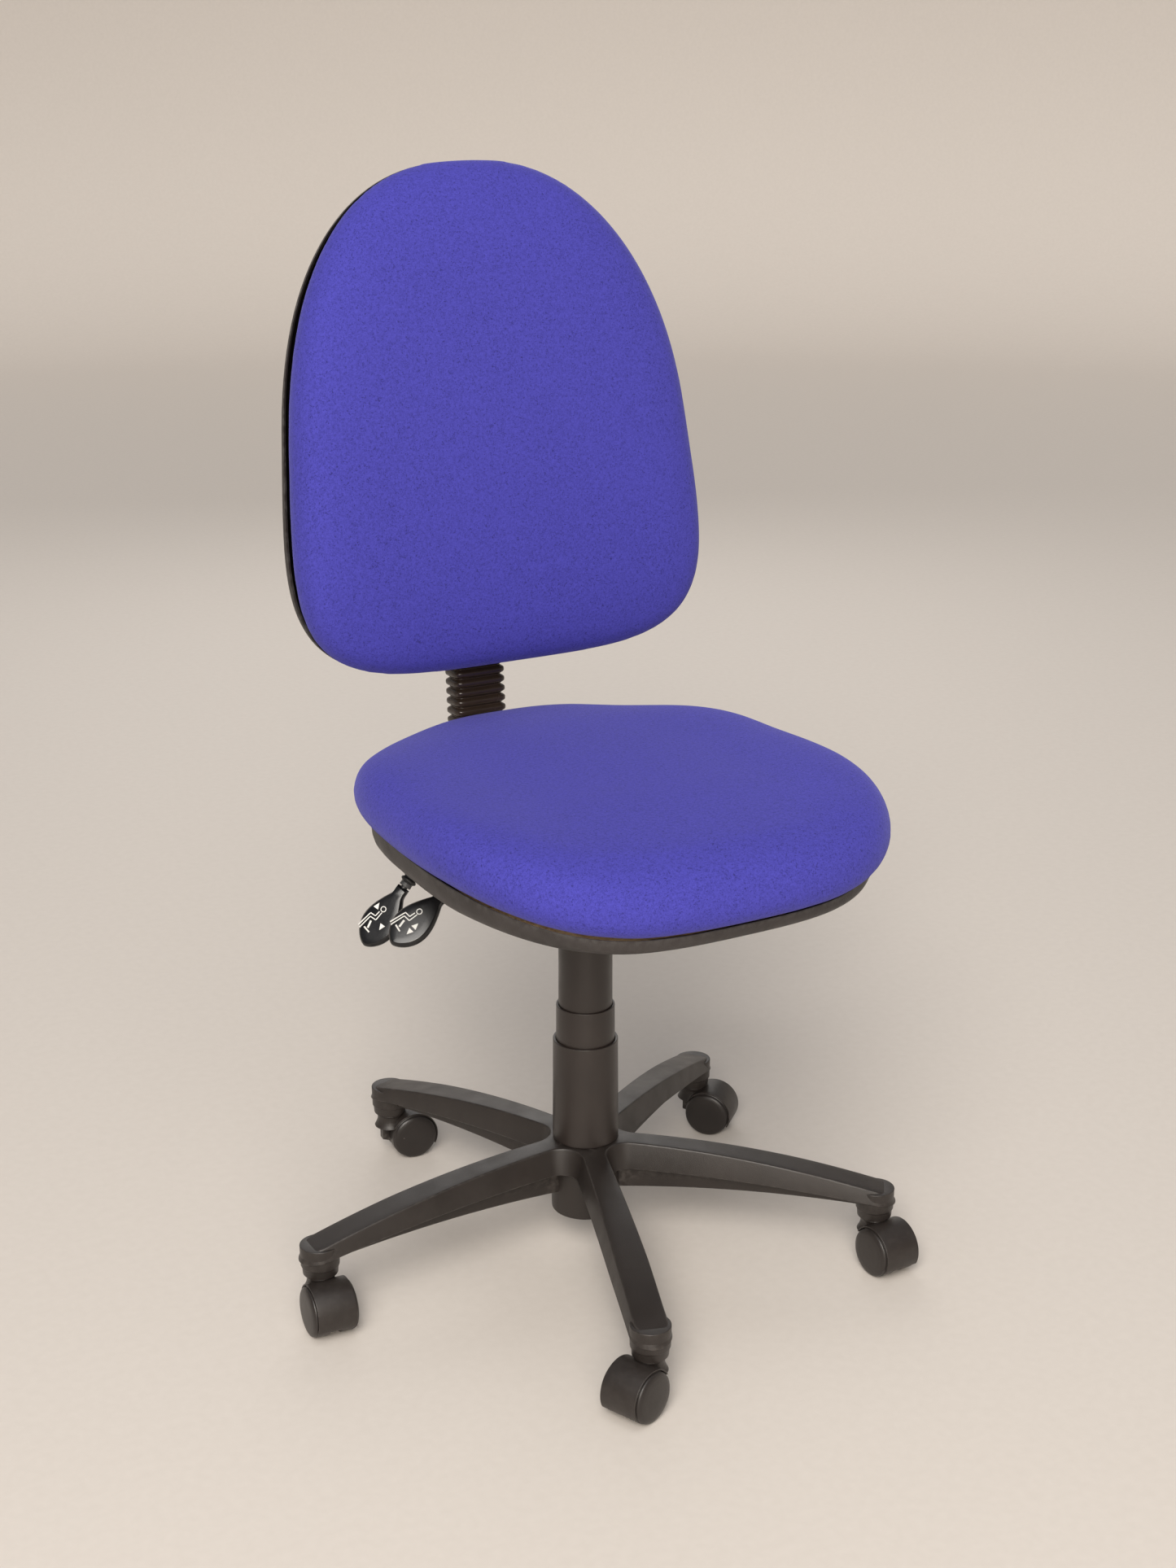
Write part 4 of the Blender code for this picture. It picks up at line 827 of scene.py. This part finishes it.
def evened(mesh, steps):
    """Each point's step, averaged again and again with its neighbours' steps."""
    edges = np.array([edge.vertices for edge in mesh.edges])
    ends = np.concatenate((edges, edges[:, ::-1]))
    count = np.bincount(ends[:, 0], minlength=len(steps))[:, None] + 1.0
    for _ in range(EVENING_ROUNDS):
        total = steps.copy()
        for axis in range(3):
            total[:, axis] += np.bincount(ends[:, 0], steps[ends[:, 1], axis], len(steps))
        steps = total / count
    return steps


def swollen(mesh, held):
    """The mesh after a short cloth run with inner pressure; points in the held region stay put."""
    start = np.array([v.co for v in mesh.vertices])
    item = scratch(mesh)
    group = item.vertex_groups.new(name="held")
    group.add([v.index for v in mesh.vertices if held(v.co)], 1.0, "REPLACE")
    cloth = item.modifiers.new("Cloth", "CLOTH")
    cloth.settings.use_pressure = True
    cloth.settings.uniform_pressure_force = CLOTH_PRESSURE
    cloth.settings.effector_weights.gravity = 0.0
    cloth.settings.vertex_group_mass = "held"
    cloth.settings.tension_stiffness = CLOTH_STIFFNESS
    cloth.settings.compression_stiffness = CLOTH_STIFFNESS
    for number in range(1, CLOTH_FRAMES + 1):
        bpy.context.scene.frame_set(number)
    mesh = settled(item)
    bpy.context.scene.frame_set(1)
    end = np.array([v.co for v in mesh.vertices])
    step = end - start
    length = np.maximum(np.linalg.norm(step, axis=1, keepdims=True), 1e-9)
    end = start + evened(mesh, step * np.minimum(1.0, CLOTH_CAP / length))
    mesh.vertices.foreach_set("co", end.astype(np.float32).ravel())
    mesh.update()
    return mesh


def seat_pad():
    """The seat cushion; each side ring's inset is less by PAD_GROWTH than its shape asks."""
    crown, more = SEAT_CROWN, PAD_GROWTH
    side = [
        seat_ring(0.021, SEAT_UNDER),
        seat_ring(0.011 - more, SEAT_UNDER + 0.004),
        seat_ring(0.004 - more, SEAT_UNDER + 0.011),
        seat_ring(0.001 - more, 0.000),
        seat_ring(0.003 - more, 0.30 * crown),
        seat_ring(0.009 - more, 0.58 * crown),
        seat_ring(0.021 - more, 0.80 * crown),
        seat_ring(0.040 - more, 0.93 * crown),
        seat_ring(0.065 - more, 0.99 * crown),
        seat_ring(0.0, 1.03 * crown, 0.50),
        seat_ring(0.0, 1.05 * crown, 0.28),
        seat_ring(0.0, 1.06 * crown, 0.10),
    ]
    mesh = loft([seat_ring(0.0, SEAT_UNDER, 0.50), *eased(side)])
    upholstered("seat_upholstery", mesh, "seat_cushion", "lift",
                lambda p: p.z < seat_height(p.x, -p.y) + SEAT_UNDER + HELD_BAND)


def back_pad():
    """The back cushion, built from its rear face forwards."""
    thick, more = BACK_HALF_THICK, PAD_GROWTH
    face = [
        back_ring(0.012, thick, 0.0),
        back_ring(0.004 - more, 0.68 * thick, 0.5),
        back_ring(-more, 0.20 * thick, 1.0),
        back_ring(0.001 - more, -0.20 * thick, 1.0),
        back_ring(0.006 - more, -0.58 * thick, 1.0),
        back_ring(0.016 - more, -0.84 * thick, 1.0),
        back_ring(0.034 - more, -0.96 * thick, 1.0),
        back_ring(0.060 - more, -1.01 * thick, 1.0),
        back_ring(0.0, -1.04 * thick, 1.0, 0.50),
        back_ring(0.0, -1.06 * thick, 1.0, 0.28),
        back_ring(0.0, -1.07 * thick, 1.0, 0.10),
    ]
    mesh = loft([back_ring(0.0, thick, 0.0, 0.5), *eased(face)])
    upholstered("back_upholstery", mesh, "back_cushion", "backrest",
                lambda p: p.y > back_plane(p.z) + thick - HELD_BAND, BAR_FRAME)


def tray_ring(amount, share, scale=1.0):
    """A ring of the seat's tray; the share is of its depth, which gets less towards the front."""
    ring = []
    for x, y, z in seat_ring(amount, SEAT_UNDER - SHELL_RIM_GAP, scale):
        front = min(1.0, ramp(-y, SHELL_TAPER_FROM, SEAT_EGG[1]))
        ring.append((x, y, z - SHELL_DEPTH * share * (1.0 - SHELL_TAPER * front)))
    return ring


def seat_shell():
    """The moulded tray under the seat, open round the mechanism."""
    levels = (
        (0.0206, 0.00), (0.0200, 0.03), (0.0201, 0.30), (0.0206, 0.50), (0.0222, 0.68), (0.0256, 0.83),
        (0.0326, 0.95), (0.0420, 1.00), (0.0, 1.00, 0.62), (0.0, 1.00, 0.38),
    )
    mesh = cut(skin([tray_ring(*level) for level in levels], SHELL_WALL), block(*SHELL_OPENING))
    piece("seat_under_shell", mesh, "lift", "shell_plastic", ["seat_shell"])


def shell_ring(amount, share, scale=1.0):
    """A ring of the back shell, between the cushion's rear plane and the shell's flat rear."""
    ring = []
    for p in [point * scale for point in egg(*BACK_EGG, amount)]:
        plane = back_plane(p.y) + BACK_HALF_THICK + BACK_SHELL_GAP
        ring.append((p.x, plane + (BACK_SHELL_REAR - plane) * share, p.y))
    return ring


def back_shell():
    """The moulded shell behind the back, notched for the bar."""
    levels = (
        (0.0036, 0.000), (0.0030, 0.015), (0.0037, 0.080), (0.0060, 0.180), (0.0090, 0.280), (0.0140, 0.420),
        (0.0210, 0.580), (0.0290, 0.730), (0.0380, 0.860), (0.0380, 0.930, 0.93), (0.0380, 0.970, 0.86),
        (0.0380, 0.990, 0.79), (0.0380, 1.000, 0.72),
    )
    mesh = cut(skin([shell_ring(*level) for level in levels], SHELL_WALL), block(*BACK_NOTCH))
    piece("back_outer_shell", mesh, "backrest", "shell_plastic", ["back_shell"], BAR_FRAME)


def bellows():
    """The concertina sleeve over the bar, between the bar and the back."""
    pitch = (BELLOWS_TOP - BELLOWS_BOTTOM) / BELLOWS_RIBS
    ridge, valley = BELLOWS_RIDGE, BELLOWS_VALLEY
    levels = [(BELLOWS_INNER, 0.0)]
    for k in range(BELLOWS_RIBS):
        for half, share in ((valley, 0.03), (ridge, 0.30), (ridge, 0.72), (valley, 0.97)):
            levels.append((half, (k + share) * pitch))
    levels += [(valley, BELLOWS_RIBS * pitch), (BELLOWS_INNER, BELLOWS_RIBS * pitch)]
    rings = []
    for half, height in rounded(levels, 0.0014, 3):
        ring = []
        for k in range(BELLOWS_COUNT):
            angle = math.tau * (k + 0.5) / BELLOWS_COUNT
            x = half * signed_power(math.cos(angle), BELLOWS_SQUARENESS)
            y = (half - BELLOWS_FLATTER) * signed_power(math.sin(angle), BELLOWS_SQUARENESS)
            ring.append((x, y + BELLOWS_REAR, BELLOWS_BOTTOM + height))
        rings.append(ring)
    item = piece("bar_bellows", loft(rings, looped=True), None, "bellows_plastic", ["bellows"], BAR_FRAME)
    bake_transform(item)


# ---------------------------------------------------------------- levers

def tube(points, radius, order=3):
    """A round bar along a smooth path, or straight from point to point with order 2."""
    curve = bpy.data.curves.new("path", "CURVE")
    curve.dimensions = "3D"
    curve.bevel_depth = radius
    curve.bevel_resolution = 4
    curve.use_fill_caps = True
    curve.resolution_u = 10
    spline = curve.splines.new("NURBS")
    spline.points.add(len(points) - 1)
    for control, point in zip(spline.points, points):
        control.co = (*point, 1.0)
    spline.order_u = order
    spline.use_endpoint_u = True
    builder = bmesh.new()
    builder.from_mesh(settled(scratch(curve)))
    bmesh.ops.remove_doubles(builder, verts=builder.verts, dist=1e-6)
    return finished(builder)


def paddle_mesh():
    """A leaf-shaped paddle along +X, its slightly domed face on +Z, with a bevelled rim."""
    outline = []
    for k in range(PADDLE_STEPS + 1):
        along = PADDLE_LENGTH * (1.0 - math.cos(math.pi * k / PADDLE_STEPS)) / 2.0
        width = PADDLE_HALF_WIDTH * max(0.0, math.sin(math.pi * (along / PADDLE_LENGTH) ** 1.45)) ** 0.62
        outline.append((along, max(width, PADDLE_NECK_HALF) if k < PADDLE_STEPS / 2 else width))
    loop = [(x, -y) for x, y in outline] + [(x, y) for x, y in reversed(outline[1:-1])]
    middle = PADDLE_LENGTH * 0.55
    levels = ((-1.0, 0.50), (-0.95, 0.72), (-0.75, 0.86), (-0.45, 0.965), (-0.15, 1.0), (0.20, 1.0),
              (0.45, 0.985), (0.62, 0.955), (0.90, 0.885), (1.0, 0.855), (1.03, 0.82), (1.06, 0.45))
    rings = []
    for height, shrink in levels:
        z = height * PADDLE_HALF_THICK
        rings.append([(middle + (x - middle) * (0.5 + shrink / 2), y * shrink, z) for x, y in loop])
    return loft(rings)


def pictogram(arrows):
    """Raised line drawing of a sitter on a chair with two arrowheads, on the paddle's face."""
    top = PADDLE_HALF_THICK * 1.055
    body = [(0.47, -0.035), (0.605, -0.050), (0.605, -0.150), (0.820, -0.195)]
    inner = [(0.475, -0.075), (0.560, -0.090), (0.560, -0.175), (0.800, -0.232)]
    post = [(0.650, -0.105), (0.760, -0.085)]
    foot = [(0.775, -0.140), (0.800, -0.030)]
    around = np.linspace(0.0, math.tau, 17)
    head = [(0.418 + 0.038 * math.cos(a), -0.045 + 0.038 * math.sin(a)) for a in around]
    strokes = ((body, 0.0008), (inner, 0.0008), (post, 0.0016), (foot, 0.0012), (head, 0.0007))
    lines = []
    for stroke, radius in strokes:
        path = [(u * PADDLE_LENGTH, v * PADDLE_LENGTH, top - 0.7 * radius) for u, v in stroke]
        lines.append(tube(path, radius, 2))
    heads = []
    for u, v, turn in arrows:
        builder = bmesh.new()
        corners = []
        for angle in (0.0, 130.0, 230.0):
            a = math.radians(angle) + turn
            x, y = u + ARROW_REACH * math.cos(a), v + ARROW_REACH * math.sin(a)
            corners.append((x * PADDLE_LENGTH, y * PADDLE_LENGTH))
        rows = [[builder.verts.new((x, y, z)) for x, y in corners] for z in (top - 0.0008, top + 0.00025)]
        for k in range(3):
            n = (k + 1) % 3
            builder.faces.new((rows[0][k], rows[0][n], rows[1][n], rows[1][k]))
        builder.faces.new(rows[0])
        builder.faces.new(rows[1])
        heads.append(finished(builder))
    return joined(*lines, *heads)


def aimed(spot, along, face):
    """Placement that turns +X to the first direction and +Z towards the second."""
    x_axis = Vector(along).normalized()
    y_axis = Vector(face).cross(x_axis).normalized()
    turn = Matrix((x_axis, y_axis, x_axis.cross(y_axis))).transposed().to_4x4()
    return Matrix.Translation(spot) @ turn


def sleeve_mesh():
    """The smooth sleeve between the paddle and the boot, along +Z."""
    bore = LEVER_ROD + 0.0002
    profile = [(bore, 0.0), (0.0062, 0.0), (0.0060, BOOT_FOOT), (bore, BOOT_FOOT)]
    return turned(rounded(profile, 0.0006, 3, closed=True), 48)


def boot_mesh():
    """A rubber boot along +Z whose ribs widen upwards."""
    foot, bore, neck = BOOT_FOOT + 0.0002, LEVER_ROD + 0.0003, 0.0064
    profile = [(bore, foot), (0.0066, foot)]
    for k in range(3):
        low = foot + 0.0051 * k
        wide = 0.0082 + 0.0007 * k
        profile += [(neck, low + 0.0004), (wide, low + 0.0014), (wide, low + 0.0035), (neck, low + 0.0047)]
    profile += [(0.0070, BOOT_TOP), (bore, BOOT_TOP)]
    return turned(rounded(profile, 0.0007, 3, closed=True), 48)


def lever(name, place_y, bend_x, drop, run, inner_path, arrows):
    """A lever's rod, paddle and sign; returns its placement, its bend and the way it slopes down."""
    axis = Vector((LEVER_WALL_X, place_y, LEVER_Z))
    slope = Vector((-math.cos(drop), 0.0, -math.sin(drop)))
    bend = Vector((bend_x - LEVER_WALL_X, 0.0, 0.0))
    path = [*inner_path, (-0.03, 0, 0), bend + Vector((BEND_EASE, 0, 0)), bend, bend + slope * BEND_EASE,
            bend + slope * (run + ROD_IN_PADDLE)]
    here = CHAIR @ Matrix.Translation(axis)
    piece(name + "_bar", tube(path, LEVER_ROD), name, "black_steel", [name + "_rod"], here)
    upward = Vector((-math.sin(drop), 0.0, math.cos(drop)))
    face = upward * math.cos(PADDLE_TWIST) + Vector((0, -1, 0)) * math.sin(PADDLE_TWIST)
    grip = here @ aimed(bend + slope * run, slope, face)
    piece(name + "_handle", paddle_mesh(), name, "lever_plastic", [name + "_paddle"], grip)
    piece(name + "_pictogram", pictogram(arrows), name, "lever_plastic", (), grip, PRINT)
    return here, bend, slope


def levers():
    inner = ((0.0555, -0.0870, 0), (0.0535, -0.0800, 0), (0.0335, -0.0370, 0), (0.0150, -0.0040, 0),
             (0.0050, 0, 0))
    here, bend, slope = lever("height_lever", 0.0870, -0.1380, math.radians(50.0), 0.0320, inner,
                              ((0.430, -0.150, math.pi), (0.640, 0.080, 0.0)))
    upright = Matrix.Rotation(math.pi / 2, 4, "Y")
    place = here @ aimed(bend + slope * 0.0310, -slope, (0, 1, 0)) @ upright
    piece("height_lever_gaiter", boot_mesh(), "height_lever", "boot_rubber", ["height_lever_boot"], place)
    piece("height_lever_sleeve", sleeve_mesh(), "height_lever", "boot_rubber", (), place, SLEEVE)
    lever("tilt_lever", 0.0030, -0.1480, math.radians(35.0), 0.0080, ((0.0195, 0, 0), (0.0080, 0, 0)),
          ((0.600, 0.070, math.pi), (0.710, 0.070, 0.0)))


# ---------------------------------------------------------------- nodes kept from the frame

KEPT = {
    "bright_steel": [
        "column_tube", "thrust_bearing", "piston_rod", "retaining_clip", "release_button", "taper_socket",
        "tilt_pivot_pin", "tilt_spring", "seat_bolt_front_right", "seat_bolt_front_left",
        "seat_bolt_rear_right", "seat_bolt_rear_left",
        *["caster_stem_" + side for side in CASTERS],
        *["wheel_axle_" + side for side in CASTERS],
    ],
    "black_steel": ["gas_cylinder", "mechanism_housing", "back_bar"],
    "plywood": ["seat_pan"],
    "bush_plastic": ["guide_bush"],
    "nylon": ["back_slider"],
    "shell_plastic": ["back_panel"],
}
WELD_DISTANCE = 0.00001
MACHINED_EDGE = 0.00025
SOFT_EDGE = 0.0007
EDGE_ANGLE = math.radians(40.0)


def kept_nodes():
    """Give each node that stays its material and softly rounded edges."""
    for slot, names in KEPT.items():
        for name in names:
            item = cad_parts[name]
            item.material_slots[0].material = MATERIALS[slot]
            weld = item.modifiers.new("Weld", "WELD")
            weld.merge_threshold = WELD_DISTANCE
            edge = item.modifiers.new("Bevel", "BEVEL")
            edge.width = MACHINED_EDGE if slot == "bright_steel" else SOFT_EDGE
            edge.segments = 2
            edge.limit_method = "ANGLE"
            edge.angle_limit = EDGE_ANGLE
            edge.harden_normals = True


# ---------------------------------------------------------------- studio

def studio():
    """A pale floor that sweeps up all round, an even sky and soft lights."""
    sweep = rounded([(0.0, 0.0), (SWEEP_RADIUS, 0.0), (SWEEP_RADIUS, SWEEP_HEIGHT)], SWEEP_BEND, 24)
    mesh = turned(sweep, 2 * ROUND_STEPS)
    mesh.materials.append(plain_floor())
    mesh.shade_smooth()
    floor = bpy.data.objects.new("floor", mesh)
    floor.location = COLUMN
    bpy.context.scene.collection.objects.link(floor)
    world = bpy.data.worlds.new("studio")
    world.use_nodes = True
    background = world.node_tree.nodes["Background"]
    background.inputs["Color"].default_value = SKY_COLOUR
    background.inputs["Strength"].default_value = SKY_STRENGTH
    bpy.context.scene.world = world
    for lamp in LIGHTS:
        soft_light(*lamp)
    bpy.context.scene.view_settings.view_transform = "Standard"


def soft_light(name, kind, place, power, colour, softness):
    data = bpy.data.lights.new(name, kind)
    data.energy = power
    data.color = colour
    if kind == "SUN":
        data.angle = softness
    else:
        data.size = softness
    light = bpy.data.objects.new(name, data)
    light.location = place
    aim = Vector((COLUMN.x, COLUMN.y, LIGHT_AIM)) - Vector(place)
    light.rotation_euler = aim.to_track_quat("-Z", "Y").to_euler()
    bpy.context.scene.collection.objects.link(light)


def camera():
    data = bpy.data.cameras.new("camera")
    data.lens = CAMERA_LENS
    data.clip_start = 0.05
    item = bpy.data.objects.new("camera", data)
    reach = Vector((-math.sin(CAMERA_HEADING), -math.cos(CAMERA_HEADING), 0)) * CAMERA_REACH
    item.location = COLUMN + reach + Vector((0, 0, CAMERA_HEIGHT))
    item.rotation_euler = (math.pi / 2 - CAMERA_PITCH, 0, -CAMERA_HEADING - CAMERA_YAW)
    bpy.context.scene.collection.objects.link(item)
    bpy.context.scene.camera = item


studio()
camera()
star_base()
column_covers()
casters()
seat_pad()
back_pad()
seat_shell()
back_shell()
bellows()
levers()
kept_nodes()
